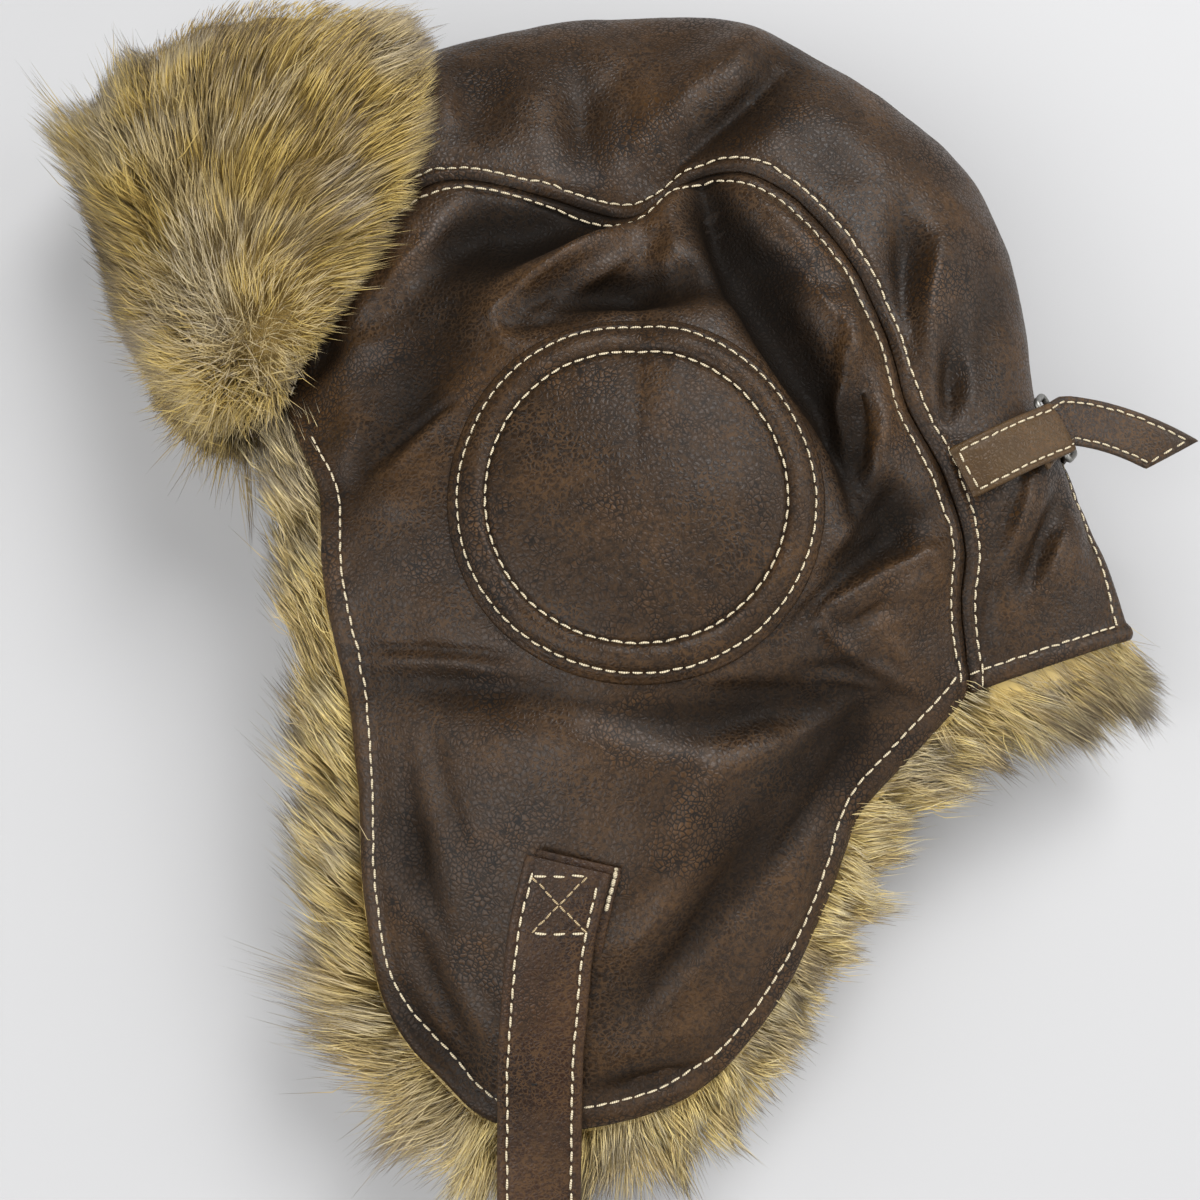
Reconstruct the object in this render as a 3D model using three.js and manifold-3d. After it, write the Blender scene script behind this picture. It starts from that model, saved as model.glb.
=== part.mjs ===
// Aviator cap of dark leather and deep fur, lying on its right side with the fur peak turned up.
// Sizes are millimetres. The lower ear patch rests on the ground and its centre is the origin.
// +X runs to the back of the cap, +Y to the top of the crown and +Z up, through the left ear.
import * as THREE from "three";
import { mergeVertices } from "three/addons/utils/BufferGeometryUtils.js";
import Module from "manifold-3d";

const wasm = await Module();
wasm.setup();

const { degToRad, lerp, radToDeg, seededRandom, smoothstep } = THREE.MathUtils;
const up = new THREE.Vector3(0, 0, 1);

// Driving dimensions
const leather = 2;
const clearance = 0.3;
const seamGap = 0.4;
const furGap = 1.2;
const slopeGap = 2.5;
const furDepth = 34;
const pressedDroop = 3.5;
const thinnestPad = 4;
const napeFurDepth = 9;
const lockLength = 27;
const lockWidth = 17;
const lockSpacing = 18.3;
const napeLockLength = 24;
const napeLockWidth = 13;
const pressedLockWidth = 10;
const leftTop = 97;
const rightBase = 3.8;
const leftDome = 2.2;
const rightDome = 3;
const seamStart = -27;
const frontTurn = 160;
const fullTurn = 360;
const crownRise = 5;
const underRise = 1.5;
const notchTurn = 9;
const notchWidth = 0.25;
const patchRadius = 52;
const patchRingInner = 41.5;
const patchRingOuter = 50;
const patchEdge = 2.4;
const patchEdgeDrop = 0.8;
const patchRingRise = 1.8;
const patchDomeRise = 2.2;
const patchGap = 0.5;
const patchRest = rightBase - clearance;
const chinStrapWidth = 23.5;
const chinStrapThickness = 2.4;
const chinTurnRadius = 11;
const backStrapWidth = 16;
const backStrapThickness = 1.8;
const ringWire = 2;
const tailLength = 37;

// A table of rows with named columns
function table(columns, rows) {
  const names = columns.split(" ");
  return rows.map((row) => Object.fromEntries(names.map((name, i) => [name, row[i]])));
}

// Seam of the left side panel, as turn about the ear, reach from it and height
const leftSeam = table("turn reach height", [
  [-27, 110, 58],
  [-15, 99, 67],
  [-6, 97, 71],
  [5, 92, 75],
  [22, 86, 79],
  [37, 92, 80],
  [51, 100, 82],
  [66, 109, 82],
  [76, 110, 81],
  [82, 105, 78],
  [89, 95, 74],
  [96, 96, 76],
  [106, 104, 78],
  [120, 118, 80],
  [140, 117, 76],
  [160, 114, 62],
]);

// Hem of the left side panel and its ear flap
const leftHem = table("turn reach height", [
  [160, 114, 62],
  [167, 102, 68],
  [175, 93, 72],
  [188, 92, 72],
  [211, 97, 68],
  [225, 112, 62],
  [236, 137, 56],
  [243, 156, 52],
  [251, 168, 50],
  [257, 175, 50],
  [266, 172, 50],
  [276, 163, 50],
  [289, 138, 52],
  [297, 122, 54],
  [307, 108, 56],
  [320, 106, 57],
  [333, 110, 58],
]);

// Seam and hem of the right side panel, which lies pressed flat by the weight above it
const rightSeam = table("turn reach height", [
  [-27, 110, 9],
  [0, 95, 7],
  [25, 90, 6],
  [50, 98, 6],
  [75, 104, 7],
  [100, 104, 9],
  [120, 112, 15],
  [140, 114, 20],
  [160, 112, 21],
]);
const rightHem = table("turn reach height", [
  [160, 112, 21],
  [175, 95, 14],
  [190, 93, 9],
  [211, 99, 6],
  [236, 137, 4],
  [257, 174, 4],
  [276, 162, 4],
  [289, 138, 4],
  [307, 108, 5],
  [320, 106, 7],
  [333, 110, 9],
]);

// Cross-sections of the crown's centre panel: where each leaves the seam, and its outermost point
const crownSections = table("turn rimTurn rimReach rimHeight", [
  [-27, -11, 158, 38],
  [-15, -4, 147, 39],
  [-5, 2, 139, 40],
  [5, 9, 136, 40],
  [15, 19, 134, 40],
  [25, 29, 143, 40],
  [35, 38, 153, 41],
  [45, 47, 162, 42],
  [55, 57, 166, 42],
  [65, 67, 171, 42],
  [75, 76, 177, 42],
  [90, 90, 178, 42],
  [105, 105, 177, 42],
  [120, 120, 174, 43],
  [135, 137, 160, 43],
  [150, 151, 147, 43],
  [160, 162, 138, 43],
]);

// Folds of the left side and the crown: from one end past a bend to the other, with width and height
const folds = table("fromX fromY bendX bendY toX toY width height", [
  [3, 88, -19, 80, -43, 64, 6, 4],
  [16, 105, 0, 78, -41, 58, 6, 4],
  [-10, 91, -34, 86, -62, 78, 9, -7],
  [19, 68, -4, 66, -33, 61, 6, -5],
  [21, 98, 38, 66, 65, 1, 9, -9],
  [32, 92, 62, 63, 72, 14, 8, 5],
  [-58, 97, -71, 78, -85, 55, 8, 4],
  [-50, 45, -66, 24, -85, 5, 7, -3],
  [-76, -48, -32, -52, 4, -58, 7, -3],
  [2, -57, 35, -62, 67, -50, 8, -4],
  [-52, -68, -10, -68, 23, -76, 12, 2.5],
  [61, -30, 76, -26, 86, -12, 7, 3],
  [57, -18, 72, -12, 84, 2, 6, -4],
  [67, -58, 29, -89, 1, -124, 12, -3],
  [35, -68, 15, -92, -7, -117, 12, 2],
  [47, -95, 24, -125, 9, -148, 12, 2],
  [52, 152, 33, 127, 9, 106, 10, -7],
  [35, 154, 21, 134, 5, 120, 9, 3],
  [98, 94, 88, 68, 84, 48, 8, 3],
  [83, 94, 78, 78, 82, 56, 6, -3],
  [108, 69, 96, 48, 93, 33, 7, -3],
  [120, 14, 117, 2, 112, -9, 5, 2],
  [127, 9, 121, -6, 114, -21, 5, -3],
  [133, 5, 128, -8, 121, -20, 5, 2],
  [-41, 147, -47, 128, -50, 115, 10, -3],
]);

// The turned-up peak from its left end, 1, over the forehead, 0, to its right end, -1
const peakSections = table("along midX midY midZ freeX freeY freeZ pile", [
  [-1, -92, 82, 10, -88, 116, 11, 8],
  [-0.75, -122, 86, 11, -120, 126, 12, 10],
  [-0.4, -150, 90, 20, -150, 134, 24, 13],
  [0, -158, 93, 47, -160, 142, 50, 14],
  [0.4, -128, 92, 84, -124, 145, 84, 14],
  [0.75, -92, 90, 97, -90, 141, 95, 13],
  [1, -66, 80, 99, -68, 134, 91, 12],
]);

// The flap's fur across the hem: how far out of the hem, how far it has drooped, and how deep it is
const furBand = table("out droop pile", [
  [-furDepth, 0, 8],
  [-16, 0, 13],
  [0, 0.5, 14],
  [8, 2, 12],
  [14, 5, 5],
]);

// The chin strap in plan over the flap, and its fall from the flap's end to the ground
const chinStrapPlan = table("y x", [
  [-265, -27],
  [-190, -27],
  [-152, -26.3],
  [-138, -25.1],
  [-119, -23.1],
  [-99, -18.3],
]);
const chinStrapFall = table("y height", [
  [-256, 23.4],
  [-240, 29],
  [-215, 40],
  [-192, 48],
]);

// Reads a column as a smooth curve over the table's first column
function read(rows, column, at) {
  const key = Object.keys(rows[0])[0];
  const last = rows.length - 1;
  const slope = (i) => {
    const a = rows[Math.max(i - 1, 0)];
    const b = rows[Math.min(i + 1, last)];
    return (b[column] - a[column]) / (b[key] - a[key]);
  };
  if (at <= rows[0][key]) return rows[0][column] + slope(0) * (at - rows[0][key]);
  if (at >= rows[last][key]) return rows[last][column] + slope(last) * (at - rows[last][key]);
  const i = rows.findIndex((row) => row[key] > at) - 1;
  const step = rows[i + 1][key] - rows[i][key];
  const t = (at - rows[i][key]) / step;
  const rise = rows[i + 1][column] - rows[i][column];
  const bend = slope(i) * step * (1 - t) - slope(i + 1) * step * t;
  return rows[i][column] + rise * t * t * (3 - 2 * t) + t * (1 - t) * bend;
}

function polar(turn, reach, height) {
  return new THREE.Vector3(
    reach * Math.cos(degToRad(turn)),
    reach * Math.sin(degToRad(turn)),
    height,
  );
}

// Height that the folds add at a place: each is a rounded ridge or valley that fades to its ends,
// and the stitched ear patch holds the panel smooth under it
function foldHeight(x, y) {
  const steps = 10;
  let total = 0;
  for (const fold of folds) {
    let nearest = Infinity;
    let fade = 0;
    for (let i = 0; i <= steps; i++) {
      const t = i / steps;
      const bow = 2 * t * (1 - t);
      const alongX = (1 - t) ** 2 * fold.fromX + bow * fold.bendX + t * t * fold.toX;
      const alongY = (1 - t) ** 2 * fold.fromY + bow * fold.bendY + t * t * fold.toY;
      const distance = Math.hypot(x - alongX, y - alongY);
      if (distance < nearest) {
        nearest = distance;
        fade = 0.35 + 0.65 * Math.sin(Math.PI * t);
      }
    }
    total += fold.height * fade * Math.exp(-((nearest / fold.width) ** 2));
  }
  return total * smoothstep(Math.hypot(x, y), patchRadius - 4, patchRadius + 8);
}

// Reach and height of a side panel's edge, which is its seam up to the front and its hem from there
function edgeOf(seam, hem, turn) {
  let inRange = turn;
  if (turn > seamStart + fullTurn) inRange -= fullTurn;
  if (turn < seamStart) inRange += fullTurn;
  const rows = inRange <= frontTurn ? seam : hem;
  return { reach: read(rows, "reach", inRange), height: read(rows, "height", inRange) };
}

// Point of the left side panel's outer face, from the ear, share 0, to its edge, share 1
function leftPanel(turn, share) {
  const edge = edgeOf(leftSeam, leftHem, turn);
  const flat = polar(turn, edge.reach * share, lerp(leftTop, edge.height, share ** leftDome));
  flat.z += foldHeight(flat.x, flat.y);
  return flat;
}

function rightPanel(turn, share) {
  const edge = edgeOf(rightSeam, rightHem, turn);
  return polar(turn, edge.reach * share, lerp(rightBase, edge.height, share ** rightDome));
}

// Point of the crown's outer face between a seam, down 0, and the outermost line, down 1
function crown(turn, side, down) {
  const isLeft = side > 0;
  const edge = isLeft ? edgeOf(leftSeam, leftHem, turn) : edgeOf(rightSeam, rightHem, turn);
  const from = polar(turn, edge.reach, edge.height);
  const to = polar(
    read(crownSections, "rimTurn", turn),
    read(crownSections, "rimReach", turn),
    read(crownSections, "rimHeight", turn),
  );
  const fromControl = from.clone().lerp(to, 0.5).setZ(from.z + (isLeft ? crownRise : -underRise));
  const toControl = to.clone().setZ(lerp(to.z, from.z, 0.7));
  const point = new THREE.CubicBezierCurve3(from, fromControl, toControl, to).getPoint(down);
  const fold = foldHeight(point.x, point.y);
  const lean = (down * Math.PI) / 2;
  const outward = new THREE.Vector3(point.x, point.y, 0).normalize();
  point.addScaledVector(outward, fold * Math.sin(lean));
  point.z += isLeft ? fold * Math.cos(lean) : 0;
  return point;
}

// How far the notch at the centre back has opened from the outermost line, as a share of a section
function notchAt(turn) {
  if (turn >= notchTurn) return 0;
  return notchWidth * ((notchTurn - turn) / (notchTurn - seamStart)) ** 0.8;
}

// Outward direction of the surface that point(a, b) gives, with b counter-clockwise from a
function facing(point, a, b, stepA, stepB) {
  const alongA = point(a + stepA, b).sub(point(a - stepA, b));
  const alongB = point(a, b + stepB).sub(point(a, b - stepB));
  return alongA.cross(alongB).normalize();
}

const crownFacing = (turn, side, down) =>
  facing((d, t) => crown(t, side, d), down, turn, 0.02, 1).multiplyScalar(side);

// Direction that both panels' cut edges take at a seam, so that they meet squarely
function seamFacing(turn, side) {
  const panel = side > 0 ? leftPanel : rightPanel;
  const fromPanel = facing((s, t) => panel(t, s), 0.97, turn, 0.02, 1).multiplyScalar(side);
  return fromPanel.add(crownFacing(turn, side, 0.04)).normalize();
}

// A sheet of joined corners that becomes a closed wall
class Sheet {
  constructor() {
    this.corners = [];
    this.faces = [];
    this.places = new Map();
  }

  corner(point, outward) {
    const place = point.toArray().map((value) => Math.round(value * 1e3)).join(" ");
    if (!this.places.has(place)) {
      this.places.set(place, this.corners.length);
      this.corners.push({ point, outward });
    }
    return this.places.get(place);
  }

  // Adds the faces between rows of corners; the outside is where column steps turn left of row steps
  grid(rowValues, columnValues, pointAt, outwardAt = () => undefined) {
    const indices = rowValues.map((row) =>
      columnValues.map((column) => this.corner(pointAt(row, column), outwardAt(row, column))),
    );
    for (let i = 0; i + 1 < rowValues.length; i++)
      for (let j = 0; j + 1 < columnValues.length; j++) {
        const [a, b] = [indices[i][j], indices[i + 1][j]];
        const [c, d] = [indices[i + 1][j + 1], indices[i][j + 1]];
        this.face(a, b, c);
        this.face(a, c, d);
      }
    return this;
  }

  face(a, b, c) {
    if (a !== b && b !== c && c !== a) this.faces.push([a, b, c]);
  }

  outwards() {
    const sums = this.corners.map(() => new THREE.Vector3());
    for (const [a, b, c] of this.faces) {
      const [p, q, r] = [a, b, c].map((i) => this.corners[i].point);
      const area = q.clone().sub(p).cross(r.clone().sub(p));
      for (const i of [a, b, c]) sums[i].add(area);
    }
    return this.corners.map(({ outward }, i) => outward ?? sums[i].normalize());
  }

  // Closes the wall between the outer face and the inner one that innerAt gives
  wall(innerAt = (point, outward) => point.clone().addScaledVector(outward, -leather)) {
    const outwards = this.outwards();
    const outer = this.corners.map(({ point }) => point);
    const inner = outer.map((point, i) => innerAt(point, outwards[i]));
    const offset = outer.length;
    const faces = [...this.faces, ...this.faces.map(([a, b, c]) => [a + offset, c + offset, b + offset])];
    const directed = new Set(this.faces.flatMap(([a, b, c]) => [`${a} ${b}`, `${b} ${c}`, `${c} ${a}`]));
    for (const edge of directed) {
      const [a, b] = edge.split(" ").map(Number);
      if (!directed.has(`${b} ${a}`)) faces.push([b, a, a + offset], [b, a + offset, b + offset]);
    }
    return geometryOf([...outer, ...inner], faces);
  }
}

function geometryOf(points, faces) {
  const geometry = new THREE.BufferGeometry();
  geometry.setAttribute(
    "position",
    new THREE.Float32BufferAttribute(points.flatMap((point) => point.toArray()), 3),
  );
  geometry.setIndex(faces.flat());
  return geometry;
}

// Evenly spaced values from one end to the other
function spread(from, to, steps) {
  return Array.from({ length: steps + 1 }, (_, i) => lerp(from, to, i / steps));
}

function solidOf(geometry) {
  const bare = geometry.clone();
  bare.deleteAttribute("normal");
  bare.deleteAttribute("uv");
  const merged = mergeVertices(bare, 1e-4);
  return new wasm.Manifold(
    new wasm.Mesh({
      numProp: 3,
      vertProperties: merged.attributes.position.array,
      triVerts: new Uint32Array(merged.index.array),
    }),
  );
}

function fuse(geometries) {
  const fused = geometries.map(solidOf).reduce((whole, piece) => whole.add(piece));
  const { vertProperties, triVerts } = fused.getMesh();
  const geometry = new THREE.BufferGeometry();
  geometry.setAttribute("position", new THREE.BufferAttribute(vertProperties, 3));
  geometry.setIndex(new THREE.BufferAttribute(triVerts, 1));
  return geometry;
}

// Leather panels
const seamTurns = [...spread(seamStart, notchTurn, 6), ...spread(notchTurn, frontTurn, 22).slice(1)];
const hemTurns = (steps) => spread(frontTurn, seamStart + fullTurn, steps).slice(1);

function leftSidePanel() {
  const shares = [0, 0.3, 0.48, 0.6, 0.71, 0.82, 0.92, 1];
  const turns = [...seamTurns, ...hemTurns(28)];
  const gapShare = (turn) => seamGap / edgeOf(leftSeam, leftHem, turn).reach;
  return new Sheet()
    .grid(
      shares,
      turns,
      (share, turn) => leftPanel(turn, share === 1 ? 1 - gapShare(turn) : share),
      (share, turn) => (share === 1 && turn <= frontTurn ? seamFacing(turn, 1) : undefined),
    )
    .wall();
}

function rightSidePanel() {
  const shares = [0, 0.55, 0.78, 0.92, 1];
  const turns = [...seamTurns, ...hemTurns(20)];
  const gapShare = (turn) => seamGap / edgeOf(rightSeam, rightHem, turn).reach;
  return new Sheet()
    .grid(
      turns,
      shares,
      (turn, share) => rightPanel(turn, share === 1 ? 1 - gapShare(turn) : share),
      (turn, share) => (share === 1 && turn <= frontTurn ? seamFacing(turn, -1) : undefined),
    )
    .wall();
}

function centrePanel() {
  const columns = spread(0, 1, 6);
  const sheet = new Sheet();
  const at = (side) => (column, turn) => crown(turn, side, column * (1 - notchAt(turn)));
  const edge = (side) => (column, turn) => (column === 0 ? seamFacing(turn, side) : undefined);
  sheet.grid(columns, seamTurns, at(1), edge(1));
  sheet.grid(
    seamTurns,
    columns,
    (turn, column) => at(-1)(column, turn),
    (turn, column) => edge(-1)(column, turn),
  );
  return sheet.wall();
}

// Profile of an ear patch above the panel: a padded ring inside the edge and a low dome in the middle
function patchHeight(radius) {
  const ring = (radius - patchRingInner) / (patchRingOuter - patchRingInner);
  if (radius > patchRadius - 1) return patchEdge - patchEdgeDrop;
  if (ring > 0) return patchEdge + patchRingRise * Math.sin(Math.PI * Math.min(ring, 1)) ** 0.7;
  return patchEdge + patchDomeRise * (1 - (radius / patchRingInner) ** 2) ** 0.6;
}

function leftEarPatch() {
  const ringMiddle = (patchRingInner + patchRadius) / 2 - 1;
  const radii = [0, 20, 33, patchRingInner, ringMiddle, patchRingOuter, patchRadius];
  const under = (radius, turn) => leftPanel(turn, radius / edgeOf(leftSeam, leftHem, turn).reach);
  const sheet = new Sheet().grid(radii, spread(0, fullTurn, 36), (radius, turn) => {
    const point = under(radius, turn);
    point.z += patchGap + patchHeight(radius);
    return point;
  });
  return sheet.wall((point) => {
    const inner = point.clone();
    inner.z += -patchHeight(Math.min(Math.hypot(point.x, point.y), patchRadius));
    return inner;
  });
}

function rightEarPatch() {
  const shoulder = patchRadius - 2.5;
  const profile = [
    [0, 0],
    [shoulder, 0],
    [patchRadius - 0.6, patchRest * 0.35],
    [patchRadius, patchRest * 0.7],
    [patchRadius, patchRest],
    [0, patchRest],
  ].map(([radius, height]) => new THREE.Vector2(radius, height));
  return new THREE.LatheGeometry(profile, 40).rotateX(Math.PI / 2);
}

// Hem of the crown over the forehead, where the peak is sewn on
function foreheadHem(along) {
  const side = along < 0 ? -1 : 1;
  const down = 1 - 0.96 * Math.min(Math.abs(along), 1);
  const outward = crownFacing(frontTurn, side, Math.min(down, 0.98));
  return crown(frontTurn, side, down).addScaledVector(outward, leather + seamGap);
}

// Point of the peak from its hem, share 0, to its free edge, share 1
function peak(along, share) {
  const column = (name) => read(peakSections, name, along);
  const middle = new THREE.Vector3(column("midX"), column("midY"), column("midZ"));
  const free = new THREE.Vector3(column("freeX"), column("freeY"), column("freeZ"));
  const rest = 1 - share;
  return foreheadHem(along)
    .multiplyScalar(rest * rest)
    .addScaledVector(middle, 2 * rest * share)
    .addScaledVector(free, share * share);
}

const peakFacing = (along, share) => facing(peak, along, share, 0.02, 0.02);

const peakAlongs = spread(-0.9, 0.9, 11);
const peakShares = [0.16, 0.38, 0.6, 0.82];
function peakLeather() {
  return new Sheet().grid([-1, ...peakAlongs, 1], [0, ...peakShares, 1], peak).wall();
}

// How deep the peak's fur stands above its leather, thinning at its borders
function peakPile(along, share) {
  const rim = Math.min(1, (1.06 - Math.abs(along)) / 0.2, (1.08 - share) / 0.22, share / 0.16);
  return read(peakSections, "pile", along) * (0.35 + 0.65 * Math.max(rim, 0) ** 0.5);
}

// A three-sided tapering lock of fur from its root along aim, flatter than it is wide
function lock(root, aim, length, width) {
  const side = new THREE.Vector3().crossVectors(aim, up).normalize();
  const over = new THREE.Vector3().crossVectors(side, aim).normalize();
  const base = [90, 210, 330].map((angle) =>
    root
      .clone()
      .addScaledVector(side, (Math.cos(degToRad(angle)) * width) / 2)
      .addScaledVector(over, (Math.sin(degToRad(angle)) * width) / 3),
  );
  const tip = root.clone().addScaledVector(aim, length);
  return geometryOf([...base, tip], [[0, 1, 2], [1, 0, 3], [2, 1, 3], [0, 2, 3]]);
}

// A size that varies by up to a quarter from lock to lock
const vary = (size) => size * (0.75 + 0.5 * seededRandom());

const upperLocks = { firstTurn: 174, out: 7, below: 4 };
const underLocks = { firstTurn: 177, out: 4, below: 9 };
const downCheek = new THREE.Vector3(0, -0.45, 0);

// The fur inside a flap's hem: a pad that stands out past the hem, fused to locks that point outwards
function flapFur(side) {
  const isLeft = side > 0;
  const panel = isLeft ? leftPanel : rightPanel;
  const [seam, hem] = isLeft ? [leftSeam, leftHem] : [rightSeam, rightHem];
  const at = (out, turn) => {
    const edge = edgeOf(seam, hem, turn);
    const point = panel(turn, Math.min(1, 1 + out / edge.reach));
    point.addScaledVector(polar(turn, 1, 0), Math.max(out, 0));
    point.z -= side * (leather + furGap + slopeGap * Math.max(0, -out / furDepth));
    point.z -= Math.min(read(furBand, "droop", out), isLeft ? Infinity : pressedDroop);
    return point;
  };
  const outs = furBand.map((row) => row.out);
  const turns = spread(170, 326, isLeft ? 24 : 18);
  const sheet = new Sheet();
  if (isLeft) sheet.grid(outs, turns, at);
  else sheet.grid(turns, outs, (turn, out) => at(out, turn));
  const pile = (point) => {
    const turn = radToDeg(Math.atan2(point.y, point.x)) + fullTurn;
    const reach = edgeOf(seam, hem, turn % fullTurn).reach;
    return read(furBand, "pile", Math.hypot(point.x, point.y) - reach);
  };
  const depth = (point) => Math.max(pile(point), thinnestPad);
  const pad = sheet.wall((point) => point.clone().addScaledVector(up, -side * depth(point)));
  const locks = [];
  seededRandom(isLeft ? 11 : 12);
  const layers = isLeft ? [upperLocks, underLocks] : [upperLocks];
  for (const { firstTurn, out, below } of layers)
    for (let turn = firstTurn; turn < 324; turn += radToDeg(lockSpacing / edgeOf(seam, hem, turn).reach)) {
      const root = at(out, turn);
      root.z -= side * below;
      const aim = polar(turn, 1, 0).add(downCheek).normalize();
      aim.z = isLeft ? -0.2 : -0.02;
      locks.push(lock(root, aim.normalize(), vary(lockLength), vary(lockWidth)));
    }
  return fuse([pad, ...locks]);
}

// The fur inside a lobe of the nape, which stands out past its lower hem
function napeFur(side) {
  const rows = [-6, -15, seamStart, -30, -36];
  const inward = leather + furGap;
  const at = (turn, share) => {
    const onPanel = Math.max(turn, seamStart);
    const down = lerp(0.16, 1 - notchAt(onPanel) - 0.04, share);
    const point = crown(onPanel, side, down).addScaledVector(crownFacing(onPanel, side, down), -inward);
    const along = crown(seamStart, side, down).sub(crown(seamStart + 5, side, down)).normalize();
    return point.addScaledVector(along, (onPanel - turn) * 1.1);
  };
  const shares = spread(0, 1, 5);
  const turns = rows.slice().reverse();
  const sheet = new Sheet();
  if (side > 0) sheet.grid(shares, turns, (share, turn) => at(turn, share));
  else sheet.grid(turns, shares, at);
  const pad = sheet.wall((point, outward) => point.clone().addScaledVector(outward, -napeFurDepth));
  const locks = [];
  seededRandom(side > 0 ? 21 : 22);
  for (const share of spread(0.08, 0.92, 4))
    for (const depth of [2, 6]) {
      const root = at(-31, share);
      const along = at(-36, share).sub(at(-30, share)).normalize();
      const inwards = crownFacing(seamStart, side, 0.4).multiplyScalar(-depth);
      const aim = along.add(new THREE.Vector3(0.25, -0.35, -0.05 * side)).normalize();
      locks.push(lock(root.add(inwards), aim, vary(napeLockLength), vary(napeLockWidth)));
    }
  return fuse([pad, ...locks]);
}

const peakLockSink = 5;
const lockRoot = 4;
const groundRoot = 4.5;

// The fur on the peak: a pad whose locks sweep apart from the middle and up to the free edge
function peakFur() {
  const alongs = [-1.05, ...peakAlongs, 1.05];
  const shares = [0.05, ...peakShares, 1.05];
  const surface = (along, share, height) =>
    peak(along, share).addScaledVector(peakFacing(along, share), height);
  const offset = (along, share) => furGap + peakPile(along, share);
  const sheet = new Sheet();
  const inners = new Map();
  sheet.grid(alongs, shares, (along, share) => {
    const point = surface(along, share, offset(along, share));
    point.z = Math.max(point.z, 0.6);
    inners.set(point, surface(along, share, furGap));
    return point;
  });
  const pad = sheet.wall((point) => inners.get(point));
  const locks = [];
  seededRandom(31);
  for (const along of spread(-0.9, 0.98, 10))
    for (const share of [0.2, 0.46, 0.72, 0.96]) {
      const root = surface(along, share, Math.max(offset(along, share) - peakLockSink, lockRoot));
      const towardLeft = peak(along + 0.03, share).sub(peak(along - 0.03, share)).normalize();
      const towardFree = peak(along, share + 0.03).sub(peak(along, share - 0.03)).normalize();
      const sweep = along > 0.25 ? 0.55 : -0.6;
      const aim = towardLeft
        .multiplyScalar(sweep)
        .addScaledVector(towardFree, share > 0.3 ? 0.8 : 0.35)
        .addScaledVector(peakFacing(along, share), 0.3)
        .normalize();
      const onGround = along < -0.3;
      if (onGround) aim.z = -0.05;
      root.z = Math.max(root.z, groundRoot);
      const width = onGround ? pressedLockWidth : lockWidth;
      locks.push(lock(root, aim.normalize(), vary(lockLength), vary(width)));
    }
  return fuse([pad, ...locks]);
}

// A flat strap along a path, its width across the way it runs
function strap(points, acrossAt, width, thickness) {
  const last = points.length - 1;
  const corners = [];
  points.forEach((point, i) => {
    const along = points[Math.min(i + 1, last)].clone().sub(points[Math.max(i - 1, 0)]).normalize();
    const across = acrossAt(i).clone().addScaledVector(along, -acrossAt(i).dot(along)).normalize();
    const outward = across.clone().cross(along);
    for (const [w, t] of [[-1, -1], [1, -1], [1, 1], [-1, 1]])
      corners.push(
        point
          .clone()
          .addScaledVector(across, (w * width) / 2)
          .addScaledVector(outward, (t * thickness) / 2),
      );
  });
  const faces = [[0, 1, 2], [0, 2, 3]];
  const end = last * 4;
  faces.push([end, end + 2, end + 1], [end, end + 3, end + 2]);
  for (let i = 0; i < last; i++)
    for (let j = 0; j < 4; j++) {
      const a = i * 4 + j;
      const b = i * 4 + ((j + 1) % 4);
      faces.push([a, a + 4, b + 4], [a, b + 4, b]);
    }
  const geometry = geometryOf(corners, faces);
  if (solidOf(geometry).volume() < 0) geometry.setIndex(faces.map(([a, b, c]) => [a, c, b]).flat());
  return geometry;
}

// Height of the left side panel's outer face at a place in plan
function leftPanelHeight(x, y) {
  const turn = (radToDeg(Math.atan2(y, x)) + fullTurn) % fullTurn;
  return leftPanel(turn, Math.hypot(x, y) / edgeOf(leftSeam, leftHem, turn).reach).z;
}

const layerGap = 0.4;
const tabThickness = 1.6;
const tabShift = 2.5;
const chinLift = clearance * 2 + tabThickness + chinStrapThickness / 2 + 0.5;
const chinX = (y) => read(chinStrapPlan, "x", y);
const acrossX = () => new THREE.Vector3(1, 0, 0);

// Highest place of the flap across the strap's width, so that the strap clears its folds
function flapUnderStrap(y) {
  const halves = [-0.5, -0.25, 0, 0.25, 0.5];
  return Math.max(...halves.map((half) => leftPanelHeight(chinX(y) + half * chinStrapWidth, y)));
}

const buckleY = -226;
const buckleDepth = 15;
const floorRun = chinStrapThickness / 2 + 1.8;
const chinSewnY = -99.5;
const chinPoint = (y, height) => new THREE.Vector3(chinX(y), y, height);

// The half sewn to the upper flap: over the flap, down to the ground and back to the clasp
function leftChinStrap() {
  const fallEnd = chinStrapFall[0];
  const points = spread(chinSewnY, -166, 9).map((y) => chinPoint(y, flapUnderStrap(y) + chinLift));
  points.push(...spread(-178, fallEnd.y, 8).map((y) => chinPoint(y, read(chinStrapFall, "height", y))));
  const turnHeight = floorRun + chinTurnRadius;
  for (const angle of spread(65, -90, 8))
    points.push(
      new THREE.Vector3(
        chinX(fallEnd.y),
        fallEnd.y - 6 - chinTurnRadius * Math.cos(degToRad(angle)),
        turnHeight + chinTurnRadius * Math.sin(degToRad(angle)),
      ),
    );
  points.push(...spread(-252, buckleY - clearance, 3).slice(1).map((y) => chinPoint(y, floorRun)));
  return strap(points, acrossX, chinStrapWidth, chinStrapThickness);
}

// The half sewn to the lower flap, which runs along the ground to the clasp
function rightChinStrap() {
  const rise = (y) => lerp(chinStrapThickness / 2, floorRun, smoothstep(-y, 180, 215));
  const points = spread(buckleY + clearance, chinSewnY, 12).map((y) => chinPoint(y, rise(y)));
  return strap(points, acrossX, chinStrapWidth, chinStrapThickness);
}

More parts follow.
